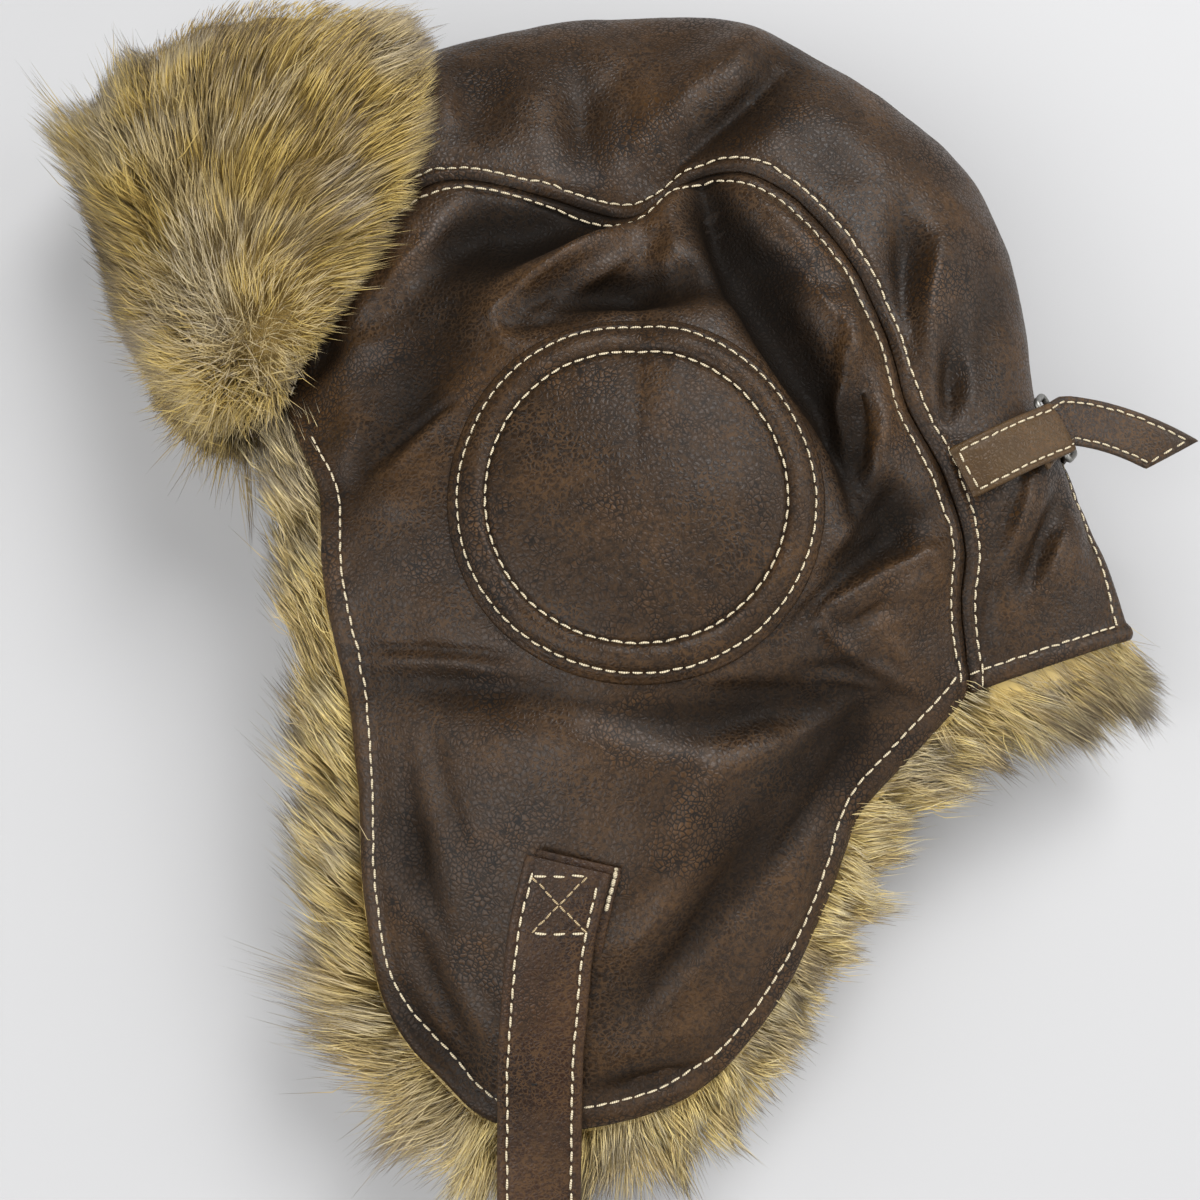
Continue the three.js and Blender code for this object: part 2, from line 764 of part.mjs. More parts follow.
// A plain sleeve that holds the two ends of the chin strap
function chinBuckle() {
  const outline = roundedRectangle(chinStrapWidth + 6, chinStrapThickness + 3.2, 1.4);
  const room = [chinStrapWidth + 2 * clearance, chinStrapThickness + 2 * clearance];
  outline.holes.push(roundedRectangle(...room, 0.3));
  return new THREE.ExtrudeGeometry(outline, { depth: buckleDepth, bevelEnabled: false, curveSegments: 3 })
    .translate(0, 0, -buckleDepth / 2)
    .rotateX(Math.PI / 2)
    .translate(chinX(buckleY), buckleY, floorRun);
}

// The second layer of leather under the strap's sewn end, a little aside of it
function chinTab() {
  const height = (y) => flapUnderStrap(y) + clearance + layerGap + tabThickness / 2;
  const points = spread(-98, -122, 4).map((y) => new THREE.Vector3(chinX(y) + tabShift, y, height(y)));
  return strap(points, acrossX, chinStrapWidth, tabThickness);
}

function roundedRectangle(width, height, radius) {
  const [x, y] = [width / 2, height / 2];
  const shape = new THREE.Shape();
  shape.moveTo(-x + radius, -y);
  shape.lineTo(x - radius, -y);
  shape.absarc(x - radius, -y + radius, radius, -Math.PI / 2, 0, false);
  shape.lineTo(x, y - radius);
  shape.absarc(x - radius, y - radius, radius, 0, Math.PI / 2, false);
  shape.lineTo(-x + radius, y);
  shape.absarc(-x + radius, y - radius, radius, Math.PI / 2, Math.PI, false);
  shape.lineTo(-x, -y + radius);
  shape.absarc(-x + radius, -y + radius, radius, Math.PI, Math.PI * 1.5, false);
  return shape;
}

// The back ring's place on the crown: its middle, the way the straps run, their width and the outward side
const ringTurn = 9.5;
const ringDown = 0.6;
const strapTurn = 6.5;
const layerHeight = 2 * clearance + layerGap + backStrapThickness / 2;
const hairpinRadius = ringWire * Math.SQRT1_2 + clearance + 0.15 + backStrapThickness / 2;
const ringBarSpacing = 2 * hairpinRadius + backStrapThickness + clearance;
const ringRoom = backStrapWidth + 2;
const foldedLength = 11;

function ringFrame() {
  const outward = crownFacing(ringTurn, 1, ringDown);
  const ahead = crown(ringTurn, 1, ringDown + 0.05).sub(crown(ringTurn - 2, 1, ringDown - 0.15));
  const along = ahead.addScaledVector(outward, -ahead.dot(outward)).normalize();
  const across = outward.clone().cross(along).normalize();
  const middle = crown(ringTurn, 1, ringDown).addScaledVector(outward, layerHeight + hairpinRadius);
  return { outward, along, across, middle };
}

// The fold of a strap round one bar of the ring: heading 1 opens to the back, -1 to the seam
function hairpin(frame, heading) {
  const bar = frame.middle.clone().addScaledVector(frame.along, (heading * ringBarSpacing) / 2);
  return spread(-90, 90, 8).map((angle) =>
    bar
      .clone()
      .addScaledVector(frame.along, -heading * hairpinRadius * Math.cos(degToRad(angle)))
      .addScaledVector(frame.outward, hairpinRadius * Math.sin(degToRad(angle))),
  );
}

function overCrown(turn, side, down, height) {
  return crown(turn, side, down).addScaledVector(crownFacing(turn, side, down), height);
}

// Stations of a strap that follows the crown, each with its place and the way its width runs
function crownStations(side, downs, turnAt, height) {
  return downs.map((down) => ({
    point: overCrown(turnAt(down), side, down, height),
    across: crown(turnAt(down) + 2, side, down).sub(crown(turnAt(down) - 2, side, down)),
  }));
}

const strapTurnAt = (down) => lerp(strapTurn, ringTurn, Math.min(down / ringDown, 1));

function strapOf(stations, width, thickness) {
  return strap(
    stations.map(({ point }) => point),
    (i) => stations[i].across,
    width,
    thickness,
  );
}

// The part folded round the ring's near bar, from its hidden end back to the seam
function leftBackStrap() {
  const { middle, along, across, outward } = ringFrame();
  const topLayer = layerHeight + backStrapThickness + 2 * clearance;
  const folded = middle
    .clone()
    .addScaledVector(along, -ringBarSpacing / 2 - foldedLength)
    .addScaledVector(outward, -hairpinRadius);
  const bend = hairpin(ringFrame(), -1);
  const stations = [folded, ...bend].map((point) => ({ point, across }));
  stations.push(...crownStations(1, spread(0.34, 0.05, 5), strapTurnAt, topLayer));
  return strapOf(stations, backStrapWidth, backStrapThickness);
}

const tailAim = new THREE.Vector3(0.93, 0.06, -0.36).normalize();
const tailSweep = new THREE.Vector3(0, -10, 4);

// The part from the other seam, round the ring's far bar, with its free end
function rightBackStrap() {
  const frame = ringFrame();
  const stations = [
    ...crownStations(-1, spread(0.05, 0.95, 8), strapTurnAt, layerHeight),
    ...crownStations(1, [0.96, 0.86, 0.77], strapTurnAt, layerHeight),
  ];
  const bend = hairpin(frame, 1);
  const start = bend[bend.length - 1];
  const tailPoint = (share) =>
    start.clone().addScaledVector(tailAim, share * tailLength).addScaledVector(tailSweep, share ** 2);
  const tail = spread(0, 1, 5).slice(1).map(tailPoint);
  stations.push(...[...bend, ...tail].map((point) => ({ point, across: frame.across })));
  return strapOf(stations, backStrapWidth - 1, backStrapThickness);
}

function backRing() {
  const frame = ringFrame();
  const outline = roundedRectangle(ringBarSpacing + ringWire, ringRoom + 2 * ringWire, 2.6);
  outline.holes.push(roundedRectangle(ringBarSpacing - ringWire, ringRoom, 1.2));
  const depth = ringWire;
  const geometry = new THREE.ExtrudeGeometry(outline, { depth, bevelEnabled: false, curveSegments: 2 });
  geometry.translate(0, 0, -ringWire / 2);
  const place = new THREE.Matrix4().makeBasis(frame.along, frame.across, frame.outward);
  return geometry.applyMatrix4(place.setPosition(frame.middle));
}

// Materials
function finish(color, roughness, metalness = 0) {
  return new THREE.MeshStandardMaterial({ color, roughness, metalness });
}

const crownLeather = finish("#34221b", 0.5);
const strapLeather = finish("#3a251b", 0.52);
const fur = finish("#a5834c", 0.9);
const steel = finish("#8b8a86", 0.35, 1);

const cap = new THREE.Group();
const add = (name, geometry, material) => {
  const mesh = new THREE.Mesh(geometry, material.clone());
  mesh.name = name;
  cap.add(mesh);
};

add("side_panel_left", leftSidePanel(), crownLeather);
add("side_panel_right", rightSidePanel(), crownLeather);
add("centre_panel", centrePanel(), crownLeather);
add("ear_patch_left", leftEarPatch(), crownLeather);
add("ear_patch_right", rightEarPatch(), crownLeather);
add("peak", peakLeather(), crownLeather);
add("peak_fur", peakFur(), fur);
add("flap_fur_left", flapFur(1), fur);
add("flap_fur_right", flapFur(-1), fur);
add("nape_fur_left", napeFur(1), fur);
add("nape_fur_right", napeFur(-1), fur);
add("back_strap_left", leftBackStrap(), strapLeather);
add("back_strap_right", rightBackStrap(), strapLeather);
add("back_ring", backRing(), steel);
add("chin_strap_left", leftChinStrap(), strapLeather);
add("chin_strap_right", rightChinStrap(), strapLeather);
add("chin_buckle", chinBuckle(), steel);
add("chin_tab_left", chinTab(), strapLeather);

export default cap;
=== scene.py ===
"""Aviator cap of dark distressed leather and deep golden fur, lying on its right side.

Lengths are written in millimetres and become metres where a mesh is made. The lower ear patch
rests on the floor at the origin, +X runs to the back of the cap, +Y to the top of the crown and
+Z up through the left ear.
"""

import logging
import math
from dataclasses import dataclass, field
from enum import Enum
from typing import Any, Callable, Sequence

import bmesh
import bpy
import numpy as np
from mathutils import Matrix, Vector
from mathutils.bvhtree import BVHTree


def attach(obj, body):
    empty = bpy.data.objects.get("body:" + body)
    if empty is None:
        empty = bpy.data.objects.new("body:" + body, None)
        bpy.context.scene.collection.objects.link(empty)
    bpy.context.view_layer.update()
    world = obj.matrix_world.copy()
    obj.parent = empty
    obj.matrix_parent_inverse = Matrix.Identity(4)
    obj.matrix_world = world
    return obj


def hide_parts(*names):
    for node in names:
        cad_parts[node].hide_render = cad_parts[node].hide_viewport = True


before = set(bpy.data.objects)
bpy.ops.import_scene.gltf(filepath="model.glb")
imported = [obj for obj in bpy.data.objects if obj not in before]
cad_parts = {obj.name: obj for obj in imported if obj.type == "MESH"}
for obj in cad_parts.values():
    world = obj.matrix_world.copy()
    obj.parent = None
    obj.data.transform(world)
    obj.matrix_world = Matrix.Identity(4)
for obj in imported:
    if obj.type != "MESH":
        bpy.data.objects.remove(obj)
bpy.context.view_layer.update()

MM = 0.001
FULL_TURN = 360.0
CLEARANCE = 0.3
UP = np.array([0.0, 0.0, 1.0])
ACROSS = np.array([1.0, 0.0, 0.0])
log = logging.getLogger("cap")

Array = np.ndarray
Material = bpy.types.Material


class Side(Enum):
    """The wearer's left side, which lies uppermost, or the right side under it."""

    LEFT = 1
    RIGHT = -1

    @property
    def word(self) -> str:
        """The side's word in the names of pieces."""
        return self.name.lower()


def lerp(start: Any, end: Any, share: Any) -> Any:
    """Value that lies a share of the way from start to end."""
    return start + (end - start) * share


def smoothstep(value: Array, low: float, high: float) -> Array:
    """Share between low and high, eased at both ends and clamped."""
    share = np.clip((value - low) / (high - low), 0.0, 1.0)
    return share * share * (3.0 - 2.0 * share)


def bell(distance: Array, width: float) -> Array:
    """Rounded hump of height 1 that fades over a width."""
    return np.exp(-np.square(distance / width))


def unit(vectors: Array) -> Array:
    """Vectors scaled to length 1."""
    length = np.linalg.norm(vectors, axis=-1, keepdims=True)
    return vectors / np.maximum(length, 1e-12)


def polar(turn: Array, reach: Array, height: Array) -> Array:
    """Point at a turn in degrees about the ear, a reach from it and a height."""
    angle = np.radians(turn)
    return np.stack(np.broadcast_arrays(reach * np.cos(angle), reach * np.sin(angle), height), axis=-1)


def path_run(path: Array) -> Array:
    """Length of a path up to each of its points."""
    return np.concatenate([[0.0], np.cumsum(np.linalg.norm(np.diff(path, axis=0), axis=1))])


def soft_noise(points: Array, size: float, seed: int) -> Array:
    """Smooth noise between -1 and 1 on a lattice of cubes.

    Args:
        points: Places, in millimetres, in the last axis.
        size: Edge of a cube.
        seed: Number that picks the pattern.

    Returns:
        One value for each place.
    """
    scaled = np.asarray(points, float) / size + 100.0
    cell = np.floor(scaled).astype(np.int64)
    share = scaled - cell
    share = share * share * (3.0 - 2.0 * share)
    total = np.zeros(scaled.shape[:-1])
    for corner in np.ndindex(2, 2, 2):
        key = cell + np.array(corner)
        mixed = key[..., 0] * 73856093 ^ key[..., 1] * 19349663 ^ key[..., 2] * 83492791 ^ seed * 2654435761
        mixed = (mixed ^ (mixed >> 13)) * 1274126177 & 0x7FFFFFFF
        value = (mixed ^ (mixed >> 16)) % 65536 / 32767.5 - 1.0
        weight = np.prod(np.where(np.array(corner) == 1, share, 1.0 - share), axis=-1)
        total = total + value * weight
    return total


class Table:
    """Rows with named columns, read as smooth curves over the first column."""

    def __init__(self, columns: str, rows: Sequence[Sequence[float]]) -> None:
        """Keeps the rows, under names divided by spaces, and works out the slope at each."""
        self.names = columns.split()
        self.values = np.array(rows, float)
        last = len(rows) - 1
        below = np.maximum(np.arange(len(rows)) - 1, 0)
        above = np.minimum(np.arange(len(rows)) + 1, last)
        run = self.values[above, 0] - self.values[below, 0]
        self.slopes = (self.values[above] - self.values[below]) / run[:, None]

    def read(self, column: str, at: Any) -> Array:
        """Value of a column at places along the first column, straight on beyond both ends.

        Args:
            column: Name of the column.
            at: Places along the first column.

        Returns:
            A value for each place.
        """
        keys = self.values[:, 0]
        index = self.names.index(column)
        height, slope = self.values[:, index], self.slopes[:, index]
        at = np.asarray(at, float)
        inside = np.clip(at, keys[0], keys[-1])
        i = np.clip(np.searchsorted(keys, inside, side="right") - 1, 0, len(keys) - 2)
        step = keys[i + 1] - keys[i]
        share = (inside - keys[i]) / step
        rise = height[i + 1] - height[i]
        bend = slope[i] * step * (1 - share) - slope[i + 1] * step * share
        value = height[i] + rise * share * share * (3 - 2 * share) + share * (1 - share) * bend
        end_slope = np.where(at < keys[0], slope[0], slope[-1])
        return value + end_slope * (at - inside)

    def rows(self) -> list[dict[str, float]]:
        """The rows, each as a dictionary of its named values."""
        return [dict(zip(self.names, row)) for row in self.values]


@dataclass(frozen=True)
class CapForm:
    """The cap's leather surfaces as points over the turn about the ear, in millimetres."""

    leather: float = 2.0
    left_top: float = 97.0
    right_base: float = 3.8
    left_dome: float = 2.2
    right_dome: float = 3.0
    seam_start: float = -27.0
    front_turn: float = 160.0
    crown_rise: float = 5.0
    under_rise: float = 1.5
    notch_turn: float = 9.0
    notch_width: float = 0.25
    patch_radius: float = 52.0
    fold_steps: int = 16

    left_seam = Table("turn reach height", [
        (-27, 110, 58), (-15, 99, 67), (-6, 97, 71), (5, 92, 75), (22, 86, 79), (37, 92, 80), (51, 100, 82),
        (66, 109, 82), (76, 110, 81), (82, 105, 78), (89, 95, 74), (96, 96, 76), (106, 104, 78),
        (120, 118, 80), (140, 117, 76), (160, 114, 62),
    ])
    left_hem = Table("turn reach height", [
        (160, 114, 62), (167, 102, 68), (175, 93, 72), (188, 92, 72), (211, 97, 68), (225, 112, 62),
        (236, 137, 56), (243, 156, 52), (251, 168, 50), (257, 175, 50), (266, 172, 50), (276, 163, 50),
        (289, 138, 52), (297, 122, 54), (307, 108, 56), (320, 106, 57), (333, 110, 58),
    ])
    right_seam = Table("turn reach height", [
        (-27, 110, 9), (0, 95, 7), (25, 90, 6), (50, 98, 6), (75, 104, 7), (100, 104, 9),
        (120, 112, 15), (140, 114, 20), (160, 112, 21),
    ])
    right_hem = Table("turn reach height", [
        (160, 112, 21), (175, 95, 14), (190, 93, 9), (211, 99, 6), (236, 137, 4), (257, 174, 4),
        (276, 162, 4), (289, 138, 4), (307, 108, 5), (320, 106, 7), (333, 110, 9),
    ])
    crown_sections = Table("turn rimTurn rimReach rimHeight", [
        (-27, -11, 158, 38), (-15, -4, 147, 39), (-5, 2, 139, 40), (5, 9, 136, 40), (15, 19, 134, 40),
        (25, 29, 143, 40), (35, 38, 153, 41), (45, 47, 162, 42), (55, 57, 166, 42), (65, 67, 171, 42),
        (75, 76, 177, 42), (90, 90, 178, 42), (105, 105, 177, 42), (120, 120, 174, 43), (135, 137, 160, 43),
        (150, 151, 147, 43), (160, 162, 138, 43),
    ])
    folds = Table("fromX fromY bendX bendY toX toY width height", [
        (3, 88, -19, 80, -43, 64, 6, 4), (16, 105, 0, 78, -41, 58, 6, 4), (-10, 91, -34, 86, -62, 78, 9, -7),
        (19, 68, -4, 66, -33, 61, 6, -5), (21, 98, 38, 66, 65, 1, 9, -9), (32, 92, 62, 63, 72, 14, 8, 5),
        (-58, 97, -71, 78, -85, 55, 8, 4), (-50, 45, -66, 24, -85, 5, 7, -3),
        (-76, -48, -32, -52, 4, -58, 7, -3), (2, -57, 35, -62, 67, -50, 8, -4),
        (-52, -68, -10, -68, 23, -76, 12, 2.5), (61, -30, 76, -26, 86, -12, 7, 3),
        (57, -18, 72, -12, 84, 2, 6, -4), (67, -58, 29, -89, 1, -124, 12, -3),
        (35, -68, 15, -92, -7, -117, 12, 2), (47, -95, 24, -125, 9, -148, 12, 2),
        (52, 152, 33, 127, 9, 106, 10, -7), (35, 154, 21, 134, 5, 120, 9, 3), (98, 94, 88, 68, 84, 48, 8, 3),
        (83, 94, 78, 78, 82, 56, 6, -3), (108, 69, 96, 48, 93, 33, 7, -3), (120, 14, 117, 2, 112, -9, 5, 2),
        (127, 9, 121, -6, 114, -21, 5, -3), (133, 5, 128, -8, 121, -20, 5, 2),
        (-41, 147, -47, 128, -50, 115, 10, -3),
    ])
    creases = Table("fromX fromY bendX bendY toX toY width height", [
        (-53, 93, -60, 80, -78, 61, 3.2, 2.2), (-48, 87, -54, 70, -68, 59, 5, -1.8),
        (2, 88, -26, 72, -41, 55, 1.9, 2.4), (-41, 59, -42, 48, -31, 44, 1.8, 1.8),
        (-31, 44, -21, 47, -10, 51, 1.6, 1.2), (3, 82, -11, 72, -30, 59, 2.6, -1.9),
        (5, 84, -11, 68, -29, 56, 2.4, 2.4), (-33, 52, -21, 52, -10, 56, 3, -2.2),
        (-10, 65, 7, 60, 21, 59, 5, -1.6), (8, 90, 13, 101, 19, 104, 3.5, 2),
        (21, 103, 24, 84, 32, 62, 3.2, -2.6), (33, 66, 40, 39, 56, 20, 3.2, -2.4),
        (54, 23, 61, 11, 61, -2, 2, -2.2), (23, 103, 49, 85, 60, 69, 3, 2),
        (60, 69, 65, 52, 59, 32, 2.6, 2.3), (58, 33, 58, 20, 62, 2, 2, 2), (65, 32, 66, 22, 64, 11, 2.2, -2),
        (73, 30, 68, 19, 69, 8, 2.4, 1.8), (-51, 29, -65, 25, -76, 12, 1.3, -1.5),
        (-52, 26, -63, 19, -71, 9, 2, 0.9), (-85, 60, -91, 55, -97, 45, 3, -2),
        (-86, 36, -82, 25, -83, 10, 3, 1.2), (-83, 49, -76, 49, -71, 51, 4, 1.6),
        (-83, -39, -52, -40, -26, -46, 1.4, -1.3), (-26, -46, 3, -56, 45, -51, 2.2, -1.5),
        (-72, -43, -51, -43, -29, -49, 3, 1.3), (-10, -61, 17, -68, 46, -55, 5.5, -1.8),
        (66, -51, 43, -64, 22, -77, 3.2, 2), (26, -72, 14, -82, 12, -104, 4, 1.6),
        (17, -96, 4, -115, -7, -133, 2.6, 1.6), (27, -98, 15, -119, 1, -138, 2.6, -1.4),
        (56, -94, 42, -117, 18, -145, 3.2, 1.6), (64, -63, 46, -89, 30, -110, 3.5, -1.6),
        (-58, -60, -54, -79, -45, -98, 3, -1), (-64, -70, -63, -95, -54, -117, 3.4, -1.2),
        (-51, -130, -44, -138, -41, -149, 2.6, 1.2), (-64, -131, -58, -148, -46, -156, 2.4, -1.3),
        (90, -9, 69, -19, 55, -29, 2.2, 2), (55, -27, 46, -34, 61, -42, 2, 1.7),
        (61, -42, 71, -45, 84, -52, 2.2, 1.5), (77, 11, 63, -12, 43, -27, 3.2, -2.2),
        (76, -14, 69, -35, 58, -35, 3, -1.6), (51, -48, 60, -48, 70, -49, 1.2, 0.9),
        (66, -42, 57, -46, 46, -46, 2, -1.3), (45, 142, 32, 128, 17, 114, 2.6, -2.6),
        (39, 162, 34, 142, 27, 128, 4.5, 1.8), (17, 114, 10, 105, 5, 100, 2, -1.8),
        (2, 150, 7, 128, 2, 112, 5, 1.3), (-22, 113, -10, 136, 2, 150, 6, -1),
        (92, 84, 84, 63, 86, 34, 2.8, 1.6), (81, 85, 77, 70, 82, 48, 2.8, -1.4),
        (93, 43, 93, 34, 90, 26, 2.2, -1.5), (102, 72, 98, 53, 98, 31, 3.4, 1.2),
        (117, 13, 112, -1, 106, -17, 2, 1.7), (113, 13, 108, -1, 102, -12, 2, -1.3),
        (130, 2, 123, -11, 118, -23, 2.2, 1.5), (124, 7, 119, -8, 114, -20, 2.2, -1.4),
        (71, -37, 77, -43, 83, -50, 2, 1.2), (-10, 178, 16, 172, 41, 164, 7, 1),
        (-45, 99, -40, 92, -48, 79, 4, -1.6), (-6, 95, -40, 85, -69, 34, 9, -3.5),
        (-40, 50, -14, 69, 29, 64, 4.5, -3), (21, 100, 30, 61, 52, 34, 6, -3.5),
        (52, 34, 59, 17, 63, 5, 3, -2.5), (33, 77, 48, 69, 66, 62, 6, -3),
        (-18, 148, -15, 125, -11, 100, 7.5, -3.5), (66, 38, 64, 31, 63, 23, 3.5, -2.5),
        (72, 6, 76, -3, 69, -10, 4.5, -3), (69, -10, 51, -27, 35, -42, 2.5, -2.5),
        (-66, -85, -64, -95, -59, -106, 6, -2.5), (-71, -132, -58, -153, -39, -167, 3.5, -2.5),
        (-62, -117, -55, -136, -44, -153, 3, -2), (35, -92, 23, -117, 1, -135, 5, -2.5),
        (47, 126, 57, 111, 65, 98, 9, -1.8), (81, 91, 84, 80, 83, 67, 5, -2),
        (93, 51, 94, 40, 92, 31, 4, -2), (102, -18, 102, -26, 102, -36, 3, -1.8),
        (-74, 78, -73, 71, -76, 65, 3, -2), (-100, 41, -89, 50, -85, 53, 3.5, -2.5),
        (-11, -161, 1, -159, 18, -154, 2.5, -2.5), (58, -34, 68, -29, 76, -28, 2.5, -1.8),
        (61, -53, 64, -64, 60, -73, 5, -1.5), (11, 90, 12, 77, 10, 66, 3.5, 2),
        (60, 51, 61, 45, 61, 38, 3, 1.5), (45, -20, 57, -12, 66, -5, 4, 2),
        (80, -8, 85, -14, 89, -21, 3, 1.5), (22, -74, 32, -66, 46, -58, 5, 2.5),
        (-10, -125, 6, -114, 14, -103, 4, 2), (-10, -152, 7, -149, 20, -141, 4, 1.5),
        (52, -84, 46, -100, 40, -114, 3.5, 1.5), (-73, 12, -67, 2, -69, -4, 6, 2),
        (-63, 150, -59, 130, -55, 120, 4, 1.5),
    ])

    def fold_height(self, points: Array) -> Array:
        """Height that the main folds add at places in plan."""
        return self.lined_height(points, self.folds)

    def crease_height(self, points: Array) -> Array:
        """Height that the sharper creases of the finished leather add at places in plan."""
        return self.lined_height(points, self.creases)

    def lined_height(self, points: Array, lines: Table) -> Array:
        """Height that a table of bent ridges and valleys adds, which fades under the ear patch.

        Args:
            points: Places, in the last axis.
            lines: Ridges and valleys, in plan.

        Returns:
            The height for each place.
        """
        x, y = points[..., 0], points[..., 1]
        total = np.zeros(x.shape)
        share = np.linspace(0.0, 1.0, self.fold_steps + 1)
        weights = (("from", (1 - share) ** 2), ("bend", 2 * share * (1 - share)), ("to", share**2))
        for fold in lines.rows():
            line = [sum(weight * fold[name + axis] for name, weight in weights) for axis in "XY"]
            reach = 3 * fold["width"]
            near = (x > line[0].min() - reach) & (x < line[0].max() + reach)
            near &= (y > line[1].min() - reach) & (y < line[1].max() + reach)
            if not near.any():
                continue
            distance, along = self.nearest_on_line(x[near], y[near], line[0], line[1])
            fade = 0.35 + 0.65 * np.sin(np.pi * along)
            total[near] += fold["height"] * fade * bell(distance, fold["width"])
        return total * smoothstep(np.hypot(x, y), self.patch_radius - 4, self.patch_radius + 8)

    @staticmethod
    def nearest_on_line(x: Array, y: Array, line_x: Array, line_y: Array) -> tuple[Array, Array]:
        """Distance to a bent line, and the share of the line at which the nearest point lies."""
        start_x, start_y = line_x[:-1], line_y[:-1]
        run_x, run_y = np.diff(line_x), np.diff(line_y)
        off_x, off_y = x[:, None] - start_x, y[:, None] - start_y
        share = np.clip((off_x * run_x + off_y * run_y) / (run_x**2 + run_y**2), 0.0, 1.0)
        distance = np.hypot(off_x - share * run_x, off_y - share * run_y)
        best = distance.argmin(axis=1)
        rows = np.arange(len(x))
        return distance[rows, best], (best + share[rows, best]) / len(run_x)

    def edge(self, side: Side, turn: Array) -> tuple[Array, Array]:
        """Reach and height of a side panel's seam or hem at turns about the ear."""
        is_left = side is Side.LEFT
        seam, hem = (self.left_seam, self.left_hem) if is_left else (self.right_seam, self.right_hem)
        turn = np.asarray(turn, float)
        turn = np.where(turn > self.seam_start + FULL_TURN, turn - FULL_TURN, turn)
        turn = np.where(turn < self.seam_start, turn + FULL_TURN, turn)
        on_seam = turn <= self.front_turn
        names = ("reach", "height")
        return tuple(np.where(on_seam, seam.read(name, turn), hem.read(name, turn)) for name in names)

    def panel(self, side: Side, turn: Array, share: Array) -> Array:
        """Point of a side panel's outer face from the ear, share 0, to its edge, share 1."""
        reach, height = self.edge(side, turn)
        if side is Side.RIGHT:
            return polar(turn, reach * share, lerp(self.right_base, height, share**self.right_dome))
        point = polar(turn, reach * share, lerp(self.left_top, height, share**self.left_dome))
        point[..., 2] += self.fold_height(point)
        return point

    def crown(self, side: Side, turn: Array, down: Array) -> Array:
        """Point of the centre panel's outer face.

        Args:
            side: Half of the panel.
            turn: Turn about the ear at which the section leaves the seam.
            down: Share of the section from the seam, 0, to the outermost line, 1.

        Returns:
            The points.
        """
        turn, down = np.broadcast_arrays(np.asarray(turn, float), np.asarray(down, float))
        is_left = side is Side.LEFT
        reach, height = self.edge(side, turn)
        start = polar(turn, reach, height)
        end = polar(*(self.crown_sections.read(name, turn) for name in ("rimTurn", "rimReach", "rimHeight")))
        leaving = lerp(start, end, 0.5)
        leaving[..., 2] = start[..., 2] + (self.crown_rise if is_left else -self.under_rise)
        arriving = end.copy()
        arriving[..., 2] = lerp(end[..., 2], start[..., 2], 0.7)
        t = down[..., None]
        rest = 1 - t
        point = rest**3 * start + 3 * rest**2 * t * leaving + 3 * rest * t**2 * arriving + t**3 * end
        fold = self.fold_height(point)
        lean = down * np.pi / 2
        outward = unit(point * np.array([1.0, 1.0, 0.0]))
        point = point + outward * (fold * np.sin(lean))[..., None]
        if is_left:
            point[..., 2] += fold * np.cos(lean)
        return point

    def notch(self, turn: Array) -> Array:
        """Share of a section that the notch at the centre back leaves open."""
        into = np.clip((self.notch_turn - turn) / (self.notch_turn - self.seam_start), 0.0, None)
        return self.notch_width * into**0.8

    def panel_facing(self, side: Side, turn: Array, share: Array) -> Array:
        """Outward direction of a side panel."""
        along = self.panel(side, turn, share + 0.01) - self.panel(side, turn, share - 0.01)
        around = self.panel(side, turn + 0.5, share) - self.panel(side, turn - 0.5, share)
        return unit(np.cross(along, around)) * side.value

    def crown_facing(self, side: Side, turn: Array, down: Array) -> Array:
        """Outward direction of the centre panel."""
        along = self.crown(side, turn, down + 0.02) - self.crown(side, turn, down - 0.02)
        around = self.crown(side, turn + 1, down) - self.crown(side, turn - 1, down)
        return unit(np.cross(along, around)) * side.value

    def seam_facing(self, side: Side, turn: Array) -> Array:
        """Outward direction that both panels share at a seam."""
        return unit(self.panel_facing(side, turn, 0.97) + self.crown_facing(side, turn, 0.04))

    def panel_height(self, x: Array, y: Array) -> Array:
        """Height of the left side panel's outer face at places in plan."""
        turn = np.degrees(np.arctan2(y, x)) % FULL_TURN
        reach, _ = self.edge(Side.LEFT, turn)
        return self.panel(Side.LEFT, turn, np.hypot(x, y) / reach)[..., 2]


